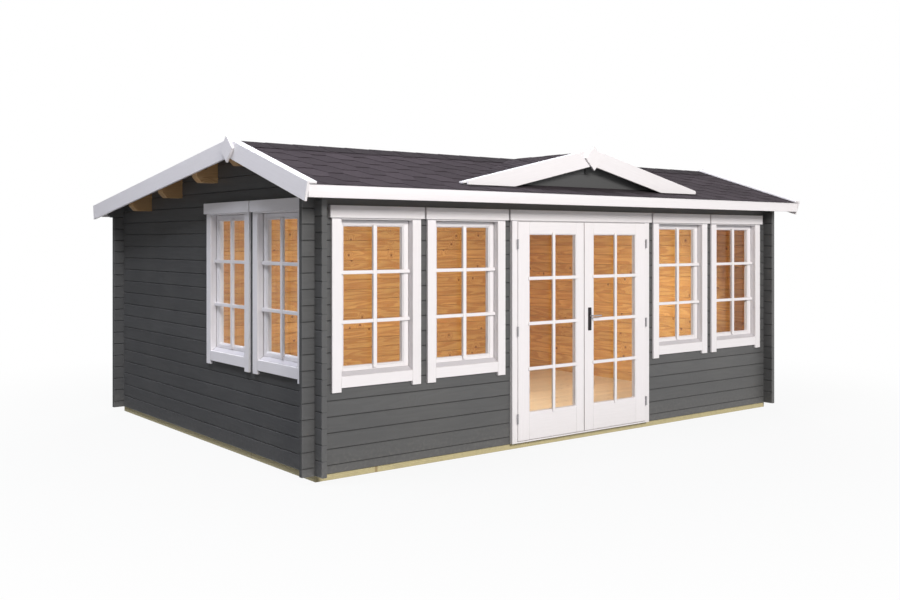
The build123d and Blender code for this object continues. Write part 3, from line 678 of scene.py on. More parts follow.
def log_courses() -> bpy.types.NodeTree:
    """Returns the group of each log's own place and tint, and of painted shade along its joints."""
    g, given, out = new_group(
        "Log courses",
        {"Place": (0.0, 0.0, 0.0), "First Joint": 0.05, "Log Height": CABIN.log_height, "Lot": 0.0},
        {"Place": "NodeSocketVector", "Tint": "NodeSocketFloat", "Joint": "NodeSocketFloat"},
    )
    parts = g.node("ShaderNodeSeparateXYZ", {0: given.outputs["Place"]})
    height = given.outputs["Log Height"]
    above = g.math("SUBTRACT", parts.outputs[2], given.outputs["First Joint"])
    course = g.plus(g.math("DIVIDE", above, height), 0.0001)
    number = g.math("FLOOR", course)
    rise = g.math("FRACT", course)
    side = g.times(g.math("SIGN", parts.outputs[1]), 31.0)
    key = g.plus(g.plus(number, given.outputs["Lot"]), side)
    lots = g.node("ShaderNodeTexWhiteNoise", {"W": key}, noise_dimensions="1D")
    tint = lots.outputs["Value"]
    lot = g.node("ShaderNodeSeparateColor", {0: lots.outputs["Color"]})
    along = g.plus(parts.outputs[0], g.times(lot.outputs[0], 60.0))
    up = g.times(g.math("SUBTRACT", rise, 0.5), height)
    up = g.plus(up, g.times(g.math("SUBTRACT", lot.outputs[1], 0.5), 0.07))
    deep = g.plus(parts.outputs[1], g.times(lot.outputs[2], 0.05))
    # Joint: painted shade, darkest at each joint between logs and gone a few millimetres from it.
    near = g.times(g.math("MINIMUM", rise, g.math("SUBTRACT", 1.0, rise)), height)
    joint = g.step(near, 0.0026, 0.0006)
    made = g.node("ShaderNodeCombineXYZ", {0: along, 1: up, 2: deep})
    g.feed(out.inputs["Place"], made.outputs[0])
    g.feed(out.inputs["Tint"], tint)
    g.feed(out.inputs["Joint"], joint)
    return g.tree


def splash_dust() -> bpy.types.NodeTree:
    """Returns the group that gathers dust near the ground and in soft patches elsewhere."""
    g, given, out = new_group(
        "Splash dust", {"Position": (0.0, 0.0, 0.0), "Reach": 0.35}, {"Dust": "NodeSocketFloat"}
    )
    height = g.node("ShaderNodeSeparateXYZ", {0: given.outputs["Position"]}).outputs[2]
    low = g.math("SUBTRACT", 1.0, g.math("DIVIDE", height, given.outputs["Reach"]), clamp=True)
    cloud = g.step(g.noise(given.outputs["Position"], 2.3, 4.0), 0.40, 0.72)
    spots = g.step(g.noise(given.outputs["Position"], 38.0, 3.0), 0.45, 0.70)
    near = g.times(g.math("POWER", low, 1.6), g.plus(0.35, spots))
    g.feed(out.inputs["Dust"], g.plus(near, g.times(cloud, 0.22), clamp=True))
    return g.tree


def edge_wear() -> bpy.types.NodeTree:
    """Returns the group that breaks up the eased edges of boards."""
    g, given, out = new_group(
        "Edge wear", {"Position": (0.0, 0.0, 0.0)}, {"Wear": "NodeSocketFloat"}
    )
    edge = g.attribute("edge").outputs["Fac"]
    patchy = g.step(g.noise(given.outputs["Position"], 14.0, 3.0), 0.30, 0.65)
    g.feed(out.inputs["Wear"], g.times(edge, patchy))
    return g.tree


def mineral_granules() -> bpy.types.NodeTree:
    """Returns the group of the slate granules that cover roofing felt."""
    g, given, out = new_group(
        "Mineral granules",
        {"Position": (0.0, 0.0, 0.0)},
        {"Speckle": "NodeSocketFloat", "Height": "NodeSocketFloat", "Patch": "NodeSocketFloat"},
    )
    cells = g.node("ShaderNodeTexVoronoi", {"Vector": given.outputs["Position"], "Scale": 620.0})
    lot = g.node("ShaderNodeSeparateColor", {0: cells.outputs["Color"]})
    g.feed(out.inputs["Speckle"], lot.outputs[0])
    g.feed(out.inputs["Height"], g.math("SUBTRACT", 1.0, cells.outputs["Distance"], clamp=True))
    g.feed(out.inputs["Patch"], g.noise(given.outputs["Position"], 5.0, 4.0))
    return g.tree


class Effects:
    """The shared node groups, each built once."""

    def __init__(self) -> None:
        """Builds the groups."""
        self.figure = wood_figure()
        self.courses = log_courses()
        self.dust = splash_dust()
        self.wear = edge_wear()
        self.granules = mineral_granules()


EFFECTS = Effects()


class Figure(NamedTuple):
    """What the wood figure gives: year rings, fibres and knots."""

    rings: Socket
    fibre: Socket
    knot: Socket


def wood_at(g: Graph, place: Socket, ring_spacing: float, knot_share: float) -> Figure:
    """Returns the wood's figure at a place in its tree.

    Args:
        g: The material's graph.
        place: The place in the tree.
        ring_spacing: Distance between year rings.
        knot_share: How many of the knots that fit are there.

    Returns:
        The figure's sockets.
    """
    inputs = {"Place": place, "Ring Spacing": ring_spacing, "Knot Share": knot_share}
    outputs = g.group(EFFECTS.figure, inputs).outputs
    return Figure(outputs["Rings"], outputs["Fibre"], outputs["Knot"])


def empty_material(name: str) -> tuple[bpy.types.Material, Graph]:
    """Starts a material with nothing in its graph."""
    material = bpy.data.materials.new(name)
    material.use_nodes = True
    material.node_tree.nodes.clear()
    return material, Graph(material.node_tree)


def new_material(name: str) -> tuple[bpy.types.Material, Graph, bpy.types.Node]:
    """Starts a material with one Principled shader.

    Args:
        name: Its name.

    Returns:
        The material, its graph and its shader.
    """
    material, g = empty_material(name)
    shader = g.node("ShaderNodeBsdfPrincipled")
    g.node("ShaderNodeOutputMaterial", {"Surface": shader.outputs[0]})
    return material, g, shader


@dataclass(frozen=True)
class BareWood:
    """Unpainted softwood."""

    name: str
    early: Colour
    late: Colour
    knot: Colour
    ring_spacing: float = 0.0062
    knot_share: float = 0.5
    roughness: float = 0.62
    tint_depth: float = 0.22
    ring_depth: float = 0.75
    knot_depth: float = 0.85
    dust: Colour = shade(150, 138, 116)
    dust_depth: float = 0.25
    wear_depth: float = 0.3
    late_sheen: float = 0.14

    def colour(self, g: Graph, figure: Figure, tint: Socket) -> Socket:
        """Returns the wood's colour.

        Args:
            g: The material's graph.
            figure: The wood's figure.
            tint: The board's own number.

        Returns:
            The colour's socket.
        """
        colour = g.blend(g.times(figure.rings, self.ring_depth), self.early, self.late)
        fibres = g.step(figure.fibre, 0.25, 0.8, 0.90, 1.08)
        level = g.plus(1.0 - self.tint_depth / 2, g.times(tint, self.tint_depth))
        colour = g.blend(1.0, colour, g.times(fibres, level), "MULTIPLY")
        return g.blend(g.times(figure.knot, self.knot_depth), colour, self.knot)

    def material(self) -> bpy.types.Material:
        """Returns the finish for boards that carry their own place."""
        material, g, shader = new_material(self.name)
        place = g.attribute("place").outputs["Vector"]
        figure = wood_at(g, place, self.ring_spacing, self.knot_share)
        colour = self.colour(g, figure, g.attribute("tint").outputs["Fac"])
        position = g.position()
        dust = g.group(EFFECTS.dust, {"Position": position}).outputs["Dust"]
        colour = g.blend(g.times(dust, self.dust_depth), colour, self.dust)
        wear = g.group(EFFECTS.wear, {"Position": position}).outputs["Wear"]
        colour = g.blend(g.times(wear, self.wear_depth), colour, self.early)
        g.feed(shader.inputs["Base Color"], colour)
        rough = g.step(figure.rings, 0.0, 1.0, self.roughness, self.roughness - self.late_sheen)
        g.feed(shader.inputs["Roughness"], rough)
        g.bump(shader, 0.35, 0.0006, g.plus(figure.fibre, g.times(figure.rings, -0.5)))
        return material


@dataclass(frozen=True)
class LogPaint:
    """Dark paint on a log wall's outside, with bare pine on its inside."""

    name: str
    run: Run
    first_joint: float
    paint: Colour
    worn: Colour
    bare: BareWood
    roughness: float = 0.5
    specular: float = 0.7
    ring_depth: float = 0.35
    dust: Colour = shade(150, 146, 138)
    dust_depth: float = 0.16
    # how dark the painted shade along the joints between logs is, inside and outside
    joint_shade_inside: float = 0.3
    joint_shade_outside: float = 0.65

    def material(self) -> bpy.types.Material:
        """Returns the finish, worked out from where each log lies in its wall, with painted joint
        shade.
        """
        material, g, shader = new_material(self.name)
        position = g.position()
        x, y, z = g.node("ShaderNodeSeparateXYZ", {0: position}).outputs
        lengthwise = self.run is Run.ALONG_X
        along, across = (x, y) if lengthwise else (y, x)
        courses = g.group(EFFECTS.courses, {
            "Place": g.node("ShaderNodeCombineXYZ", {0: along, 1: across, 2: z}).outputs[0],
            "First Joint": self.first_joint,
            "Log Height": CABIN.log_height,
            "Lot": 7.0 if lengthwise else 203.0,
        }).outputs
        figure = wood_at(g, courses["Place"], self.bare.ring_spacing, self.bare.knot_share)
        half = CABIN.log_thickness / 2
        out_x = g.math("GREATER_THAN", g.math("ABSOLUTE", x), CABIN.right - half)
        out_y = g.math("GREATER_THAN", g.math("ABSOLUTE", y), CABIN.back - half)
        outside = g.math("MAXIMUM", out_x, out_y)
        level = g.plus(0.93, g.times(courses["Tint"], 0.14))
        fibres = g.step(figure.fibre, 0.25, 0.8, 0.93, 1.07)
        paint = g.blend(g.times(figure.rings, self.ring_depth), self.paint, self.worn)
        paint = g.blend(1.0, paint, g.times(fibres, level), "MULTIPLY")
        dust = g.group(EFFECTS.dust, {"Position": position}).outputs["Dust"]
        paint = g.blend(g.times(dust, self.dust_depth), paint, self.dust)
        colour = g.blend(outside, self.bare.colour(g, figure, courses["Tint"]), paint)
        # painted shade: darkens the colour along each joint between logs, more outside than inside
        more = self.joint_shade_outside - self.joint_shade_inside
        depth = g.plus(self.joint_shade_inside, g.times(outside, more))
        shadow = g.math("SUBTRACT", 1.0, g.times(courses["Joint"], depth))
        g.feed(shader.inputs["Base Color"], g.blend(1.0, colour, shadow, "MULTIPLY"))
        shader.inputs["Specular IOR Level"].default_value = self.specular
        low, high = self.roughness - 0.07, self.roughness + 0.1
        g.feed(shader.inputs["Roughness"], g.step(figure.fibre, 0.2, 0.8, low, high))
        g.bump(shader, 0.35, 0.0007, g.plus(figure.fibre, g.times(figure.rings, -0.5)))
        return material


@dataclass(frozen=True)
class TrimPaint:
    """Satin paint on planed boards."""

    name: str
    paint: Colour
    grime: Colour
    roughness: float = 0.38
    fibre_depth: float = 0.05
    dust_depth: float = 0.12
    dust_reach: float = 0.25
    wear_depth: float = 0.25
    ring_spacing: float = 0.007
    knot_share: float = 0.3

    def material(self) -> bpy.types.Material:
        """Returns the finish: faint fibres under the paint, soft edges and a little dust."""
        material, g, shader = new_material(self.name)
        place = g.attribute("place").outputs["Vector"]
        figure = wood_at(g, place, self.ring_spacing, self.knot_share)
        level = g.plus(0.975, g.times(g.attribute("tint").outputs["Fac"], 0.03))
        fibres = g.step(figure.fibre, 0.25, 0.8, 1.0 - self.fibre_depth, 1.0)
        colour = g.blend(1.0, self.paint, g.times(fibres, level), "MULTIPLY")
        position = g.position()
        near = {"Position": position, "Reach": self.dust_reach}
        dust = g.group(EFFECTS.dust, near).outputs["Dust"]
        colour = g.blend(g.times(dust, self.dust_depth), colour, self.grime)
        wear = g.group(EFFECTS.wear, {"Position": position}).outputs["Wear"]
        colour = g.blend(g.times(wear, self.wear_depth), colour, self.grime)
        g.feed(shader.inputs["Base Color"], colour)
        low, high = self.roughness - 0.05, self.roughness + 0.1
        g.feed(shader.inputs["Roughness"], g.step(figure.fibre, 0.2, 0.8, low, high))
        g.bump(shader, 0.22, 0.0004, g.plus(figure.fibre, g.times(figure.rings, 0.4)))
        return material


@dataclass(frozen=True)
class RoofFelt:
    """Bitumen felt faced with mineral granules."""

    name: str
    dark: Colour
    light: Colour
    tint_depth: float = 0.3
    specular: float = 0.15

    def material(self) -> bpy.types.Material:
        """Returns the finish."""
        material, g, shader = new_material(self.name)
        grit = g.group(EFFECTS.granules, {"Position": g.position()}).outputs
        tone = g.plus(g.times(grit["Speckle"], 0.7), g.times(grit["Patch"], 0.3))
        colour = g.blend(tone, self.dark, self.light)
        tint = g.attribute("tint").outputs["Fac"]
        level = g.plus(1.0 - self.tint_depth / 2, g.times(tint, self.tint_depth))
        g.feed(shader.inputs["Base Color"], g.blend(1.0, colour, level, "MULTIPLY"))
        g.feed(shader.inputs["Roughness"], g.step(grit["Speckle"], 0.0, 1.0, 0.82, 0.97))
        shader.inputs["Specular IOR Level"].default_value = self.specular
        g.bump(shader, 0.7, 0.0009, grit["Height"])
        return material


@dataclass(frozen=True)
class Metal:
    """Brushed or satin metal."""

    name: str
    colour: Colour
    roughness: float
    streak: tuple[float, float, float]

    def material(self) -> bpy.types.Material:
        """Returns the finish, with fine brushing and dust in its roughness."""
        material, g, shader = new_material(self.name)
        position = g.position()
        lines = g.noise(g.vector("MULTIPLY", position, self.streak), 1.0, 3.0)
        smears = g.noise(position, 55.0, 3.0)
        level = g.plus(g.step(lines, 0.3, 0.7, 0.88, 1.04), g.times(smears, 0.06))
        g.feed(shader.inputs["Base Color"], g.blend(1.0, self.colour, level, "MULTIPLY"))
        shader.inputs["Metallic"].default_value = 1.0
        rough = g.plus(g.step(lines, 0.3, 0.7, -0.05, 0.07), g.times(smears, 0.12))
        g.feed(shader.inputs["Roughness"], g.plus(rough, self.roughness))
        g.bump(shader, 0.15, 0.0001, lines)
        return material


@dataclass(frozen=True)
class PaneGlass:
    """Clear float glass that lets the lamps into the room."""

    name: str
    tint: Colour
    ior: float = 1.25

    def material(self) -> bpy.types.Material:
        """Returns the finish: smooth glass, very slightly wavy."""
        material, g = empty_material(self.name)
        shader = g.node("ShaderNodeBsdfPrincipled", {
            "Base Color": self.tint, "Roughness": 0.0, "IOR": self.ior, "Transmission Weight": 1.0,
        })
        wave = g.noise(g.vector("MULTIPLY", g.position(), (2.0, 2.0, 0.7)), 1.6, 1.0)
        g.bump(shader, 0.05, 0.002, wave)
        open_air = g.node("ShaderNodeBsdfTransparent")
        lamps = g.node("ShaderNodeLightPath").outputs["Is Shadow Ray"]
        g.mixed_output("ShaderNodeOutputMaterial", lamps, shader, open_air)
        return material


PINE_WALL = BareWood(
    "pine_wall", shade(224, 176, 104), shade(198, 136, 72), shade(132, 76, 42), knot_share=0.3
)
PINE_FLOOR = BareWood(
    "pine_floor", shade(228, 206, 172), shade(204, 174, 132), shade(140, 98, 66),
    knot_share=0.35, roughness=0.42, tint_depth=0.14,
)
PINE_ROOF = BareWood("pine_roof", shade(192, 156, 110), shade(160, 118, 72), shade(104, 70, 44))
TREATED = BareWood(
    "treated_timber", shade(206, 196, 154), shade(178, 163, 116), shade(150, 128, 92),
    knot_share=0.3, roughness=0.72, tint_depth=0.12,
)
LOG_GREY = shade(77, 77, 77)
LOG_WORN = shade(86, 86, 86)


class Finishes:
    """Every finish of the cabin, made once."""

    def __init__(self) -> None:
        """Makes the materials."""
        paints = (LOG_GREY, LOG_WORN, PINE_WALL)
        self.front_logs = LogPaint(
            "log_paint_front", Run.ALONG_X, CABIN.joint_x_walls, *paints
        ).material()
        self.side_logs = LogPaint(
            "log_paint_side", Run.ALONG_Y, CABIN.joint_y_walls, *paints
        ).material()
        self.infill = TrimPaint(
            "log_paint_boards", LOG_GREY, shade(120, 118, 114), 0.5, 0.08, 0.1
        ).material()
        self.trim = TrimPaint(
            "white_paint", shade(237, 233, 234), shade(190, 186, 178)
        ).material()
        self.flashing = TrimPaint(
            "sill_grey", shade(200, 196, 199), shade(170, 166, 160), 0.5
        ).material()
        self.felt = RoofFelt("roof_felt", shade(42, 37, 40), shade(73, 66, 70)).material()
        self.cap_felt = RoofFelt("cap_felt", shade(37, 33, 35), shade(60, 55, 58), 0.1).material()
        self.floor = PINE_FLOOR.material()
        self.roof_pine = PINE_ROOF.material()
        self.treated = TREATED.material()
        self.glass = PaneGlass("pane_glass", (0.97, 0.985, 0.98, 1.0)).material()
        self.hinge = Metal(
            "hinge_steel", shade(178, 176, 179), 0.34, (90.0, 90.0, 900.0)
        ).material()
        self.plate = Metal(
            "dark_plate", shade(64, 60, 62), 0.36, (90.0, 90.0, 1200.0)
        ).material()
        self.lever = Metal(
            "satin_lever", shade(184, 182, 185), 0.24, (40.0, 1200.0, 1200.0)
        ).material()


@dataclass
class LogShell:
    """The log walls, the base under them and the floor between them."""

    ease: float = 0.003
    plank_width: float = 0.0962
    floor_low: float = 0.050
    floor_high: float = 0.069
    floor_reach: tuple[float, float] = (2.6075, 1.8535)
    doorway_half: float = 0.830
    doorway_edge: float = -1.8375
    joint_ease: float = 0.0016
    stagger: tuple[float, ...] = (0.9, -1.5, 1.8, -0.4, 0.2, -1.9, 1.2)
    shortest: float = 0.01

    def walls(self, finish: Finishes) -> None:
        """Dresses the walls, whose logs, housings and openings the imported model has."""
        fronts = ("front_wall_lower", "front_wall_piers", "front_wall_upper", "back_wall")
        dress(finish.front_logs, *fronts)
        dress(finish.side_logs, "left_wall_lower", "left_wall_piers", "right_wall", "gables")

    def base(self, finish: Finishes) -> None:
        """Builds the treated beams and joists with eased edges."""
        timbers = (("base_timbers", "base_beams", 11), ("joists", "floor_joists", 12))
        eased_copies(timbers, self.ease, finish.treated)

    def floor(self, finish: Finishes) -> None:
        """Builds the floor: boards along the cabin, butted in turn, cut at the doorway."""
        piece = Joinery("floor_planks", 13)
        reach_x, reach_y = self.floor_reach
        count = round(2 * reach_y / self.plank_width)
        width = 2 * reach_y / count
        for i in range(count):
            low, high = -reach_y + i * width, -reach_y + (i + 1) * width
            butt = self.stagger[i % len(self.stagger)]
            for start, end in ((-reach_x, butt), (butt, reach_x)):
                inner = max(low, self.doorway_edge)
                spans = [(start, end, low)]
                if low < self.doorway_edge:
                    half = self.doorway_half
                    spans = [
                        (start, min(end, -half), low),
                        (max(start, -half), min(end, half), inner),
                        (max(start, half), end, low),
                    ]
                for a, b, near in spans:
                    if b - a > self.shortest:
                        foot, top = (a, near, self.floor_low), (b, high, self.floor_high)
                        piece.box(foot, top, ALONG_X, self.joint_ease)
        piece.make(Body.SHELL, finish.floor, ["floor_boards"], 1)

    def build(self, finish: Finishes) -> None:
        """Builds and dresses everything up to the eaves."""
        self.walls(finish)
        self.base(finish)
        self.floor(finish)


@dataclass
class ShingleCourses:
    """Courses of felt strips with six-sided tabs, each lapping the one below."""

    period: float = 0.375
    row: float = 0.117
    flat: float = 0.125
    lap: float = 0.37
    top_lift: float = 0.0072
    low_lift: float = 0.0006
    thickness: float = 0.0018

    def lift(self, edge: float, down: float) -> float:
        """Returns how far a strip's face stands off the boards.

        Args:
            edge: Where the strip's lower edge lies, down the slope.
            down: The place on the strip.

        Returns:
            The lift.
        """
        share = 1 - (edge - down) / self.lap
        return self.low_lift + (self.top_lift - self.low_lift) * share

    def sheet(self, piece: Joinery, slope: Slope, outline: Sequence[Point], edge: float) -> None:
        """Adds one tab or strip.

        Args:
            piece: The mesh it goes into.
            slope: The roof plane it lies on.
            outline: Its corners: along the ridge and down the slope.
            edge: Its lower edge, down the slope.
        """
        if not outline:
            return
        tops = [slope.at(a, d, self.lift(edge, d)) for a, d in outline]
        feet = [slope.at(a, d, self.lift(edge, d) - self.thickness) for a, d in outline]
        piece.skin(feet, tops, slope.down)

    def lay(
        self, piece: Joinery, slope: Slope, region: Sequence[Point], first_edge: float, phase: float
    ) -> None:
        """Covers a region of a roof plane.

        Args:
            piece: The mesh the tabs go into.
            slope: The roof plane.
            region: Its convex outline, anticlockwise: along the ridge and down the slope.
            first_edge: Lower edge of the lowest course, at or past the region's.
            phase: Middle of a tab of that course, along the ridge.
        """
        low, high = min(a for a, _ in region), max(a for a, _ in region)
        outer, tip = self.period / 2, self.flat / 2
        shoulder = tip + (self.period - 2 * self.flat) / 2
        starter = first_edge + self.row
        upper = starter - self.lap
        strip = [(low, upper), (high, upper), (high, starter), (low, starter)]
        self.sheet(piece, slope, clipped(strip, region), starter)
        for k in range(int(first_edge / self.row) + 1):
            edge = first_edge - k * self.row
            middle = phase + (k % 2) * outer
            first = math.floor((low - middle) / self.period)
            last = math.ceil((high - middle) / self.period)
            for i in range(first, last + 1):
                x = middle + i * self.period
                tab = [
                    (x + across, edge - up) for across, up in (
                        (-outer, self.lap), (outer, self.lap), (outer, self.row),
                        (shoulder, self.row), (tip, 0.0), (-tip, 0.0),
                        (-shoulder, self.row), (-outer, self.row),
                    )
                ]
                self.sheet(piece, slope, clipped(tab, region), edge)


@dataclass
class MainRoof:
    """Roof boards, shingles, ridge cap, purlins and the white boards round them."""

    board_width: float = 0.0962
    deck: float = 0.018
    v_joint: float = 0.003
    overhang: float = 0.028
    first_edge: tuple[float, float] = (1.264, 3.130)
    phase: tuple[float, float] = (-2.244, -2.432)
    under_strip: float = 0.02
    ridge_setback: float = 0.001
    cap_exposure: float = 0.24
    cap_reach: float = 0.182
    cap_lap: float = 1.3
    cap_lifts: Point = (0.0110, 0.0084)
    cap_thickness: float = 0.0022
    ridge_gap: float = 0.0002
    ease: float = 0.0025

    def boards(self, finish: Finishes) -> None:
        """Builds the roof boards, which run from ridge to eave with a V at each joint."""
        piece = Joinery("roof_boards", 21)
        count = round(2 * CABIN.verge / self.board_width)
        width = 2 * CABIN.verge / count
        for end in (-CABIN.deck_end, CABIN.deck_end):
            near = CABIN.ridge_y + math.copysign(self.ridge_gap, end)
            section = ((end, -self.deck), (near, -self.deck), (near, 0), (end, 0))
            for i in range(count):
                x = -CABIN.verge + i * width
                sides = [
                    [CABIN.roof_point(a, y, lift) for y, lift in section] for a in (x, x + width)
                ]
                piece.skin(*sides, sides[0][3] - sides[0][2], self.v_joint)
        piece.make(Body.SHELL, finish.roof_pine, ["roof_deck"], 1)

    def shingles(self, finish: Finishes) -> None:
        """Lays both slopes with shingles."""
        piece = Joinery("felt_tabs", 22)
        courses = ShingleCourses()
        edge_x = CABIN.strip_inside + self.under_strip
        top = self.ridge_setback
        for way, pitch, first, phase in (
            (-1, CABIN.front_pitch, self.first_edge[0], self.phase[0]),
            (1, CABIN.rear_pitch, self.first_edge[1], self.phase[1]),
        ):
            slope = main_slope(pitch, way)
            run = abs(way * (CABIN.deck_end + self.overhang) - CABIN.ridge_y) / math.cos(pitch)
            region = [(-edge_x, top), (edge_x, top), (edge_x, run), (-edge_x, run)]
            courses.lay(piece, slope, region, first, phase)
        piece.make(Body.SHELL, finish.felt, ["roof_shingles"])

    def ridge_cap(self, finish: Finishes) -> None:
        """Builds the ridge cap from pieces of felt folded over the ridge, each lapping the next."""
        piece = Joinery("ridge_felt", 23)
        end = CABIN.strip_inside
        count = round(2 * end / self.cap_exposure)
        width = 2 * end / count
        levels = (CABIN.ridge_y - self.cap_reach, CABIN.ridge_y, CABIN.ridge_y + self.cap_reach)
        for i in range(count):
            x = -end + i * width
            sides = []
            for a, lift in zip((x, min(x + self.cap_lap * width, end)), self.cap_lifts):
                under = lift - self.cap_thickness
                top = [CABIN.roof_point(a, y, lift) for y in levels]
                foot = [CABIN.roof_point(a, y, under) for y in reversed(levels)]
                sides.append([*top, *foot])
            piece.skin(*sides, ALONG_X)
        piece.make(Body.SHELL, finish.cap_felt, ["ridge_cap"])

    def timbers(self, finish: Finishes) -> None:
        """Builds the purlins and the white boards round the roof with eased edges."""
        purlins = (("purlin_timbers", "purlins", 24),)
        eased_copies(purlins, self.ease, finish.roof_pine)
        boards = (
            ("verge_boards", "bargeboards", 25),
            ("cover_strips", "verge_strips", 26),
            ("eave_fascias", "fascias", 27),
            ("diamond_finials", "finials", 28),
        )
        eased_copies(boards, self.ease, finish.trim)

    def build(self, finish: Finishes) -> None:
        """Builds the main roof."""
        self.boards(finish)
        self.shingles(finish)
        self.ridge_cap(finish)
        self.timbers(finish)


@dataclass
class FalseGable:
    """The small gable over the door."""

    pitch: float = math.radians(13)
    ridge: float = 2.46629
    inner_face: float = -2.002
    end: float = 1.400
    board: float = 0.114
    slit: float = 0.006
    slit_height: float = 0.075
    first_edge: float = 1.47
    phase: float = -0.2
    ridge_gap: float = 0.0005
    joint_ease: float = 0.003
    ease: float = 0.0025

    def shingles(self, finish: Finishes) -> None:
        """Lays both of its slopes, each a triangle down to the valley on the main roof."""
        piece = Joinery("gable_felt_tabs", 31)
        courses = ShingleCourses()
        run = CABIN.ridge_y - self.inner_face
        reach = run * math.tan(CABIN.front_pitch) / math.tan(self.pitch) / math.cos(self.pitch)
        for way in (-1, 1):
            down = Vector((way * math.cos(self.pitch), 0, -math.sin(self.pitch)))
            lift = CABIN.shingle / math.cos(self.pitch)
            slope = Slope(Vector((0, CABIN.ridge_y, self.ridge - lift)), down, ALONG_Y)
            stop = self.end / math.cos(self.pitch)
            gap = self.ridge_gap
            region = [(0.0, gap), (-run * stop / reach, stop), (-run, stop), (-run, gap)]
            courses.lay(piece, slope, region, self.first_edge, self.phase)
        piece.make(Body.SHELL, finish.felt, ["dormer_shingles"])

    def infill(self, finish: Finishes) -> None:
        """Builds the dark boards behind its bargeboards, with the slit at their top."""
        piece = Joinery("gable_infill_boards", 32)
        low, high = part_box("dormer_infill")
        region = [(low[0], low[2]), (high[0], low[2]), (0.0, high[2])]
        level = low[2]
        while level < high[2]:
            top = level + self.board
            spans = [(low[0], high[0])]
            if top > high[2] - self.slit_height:
                spans = [(low[0], -self.slit), (self.slit, high[0])]
            for a, b in spans:
                outline = clipped([(a, level), (b, level), (b, top), (a, top)], region)
                if outline:
                    ends = [[Vector((x, y, z)) for x, z in outline] for y in (low[1], high[1])]
                    piece.skin(*ends, ALONG_X, self.joint_ease)
            level = top
        piece.make(Body.SHELL, finish.infill, ["dormer_infill"])

    def boards(self, finish: Finishes) -> None:
        """Builds its roof boards, bargeboards and cover strips with eased edges."""
        deck = (("gable_roof_boards", "dormer_deck", 33),)
        eased_copies(deck, 0.0, finish.infill)
        boards = (
            ("gable_verge_boards", "dormer_bargeboards", 34),
            ("gable_cover_strips", "dormer_verge_strips", 35),
        )
        eased_copies(boards, self.ease, finish.trim)

    def build(self, finish: Finishes) -> None:
        """Builds the false gable."""
        self.shingles(finish)
        self.infill(finish)
        self.boards(finish)


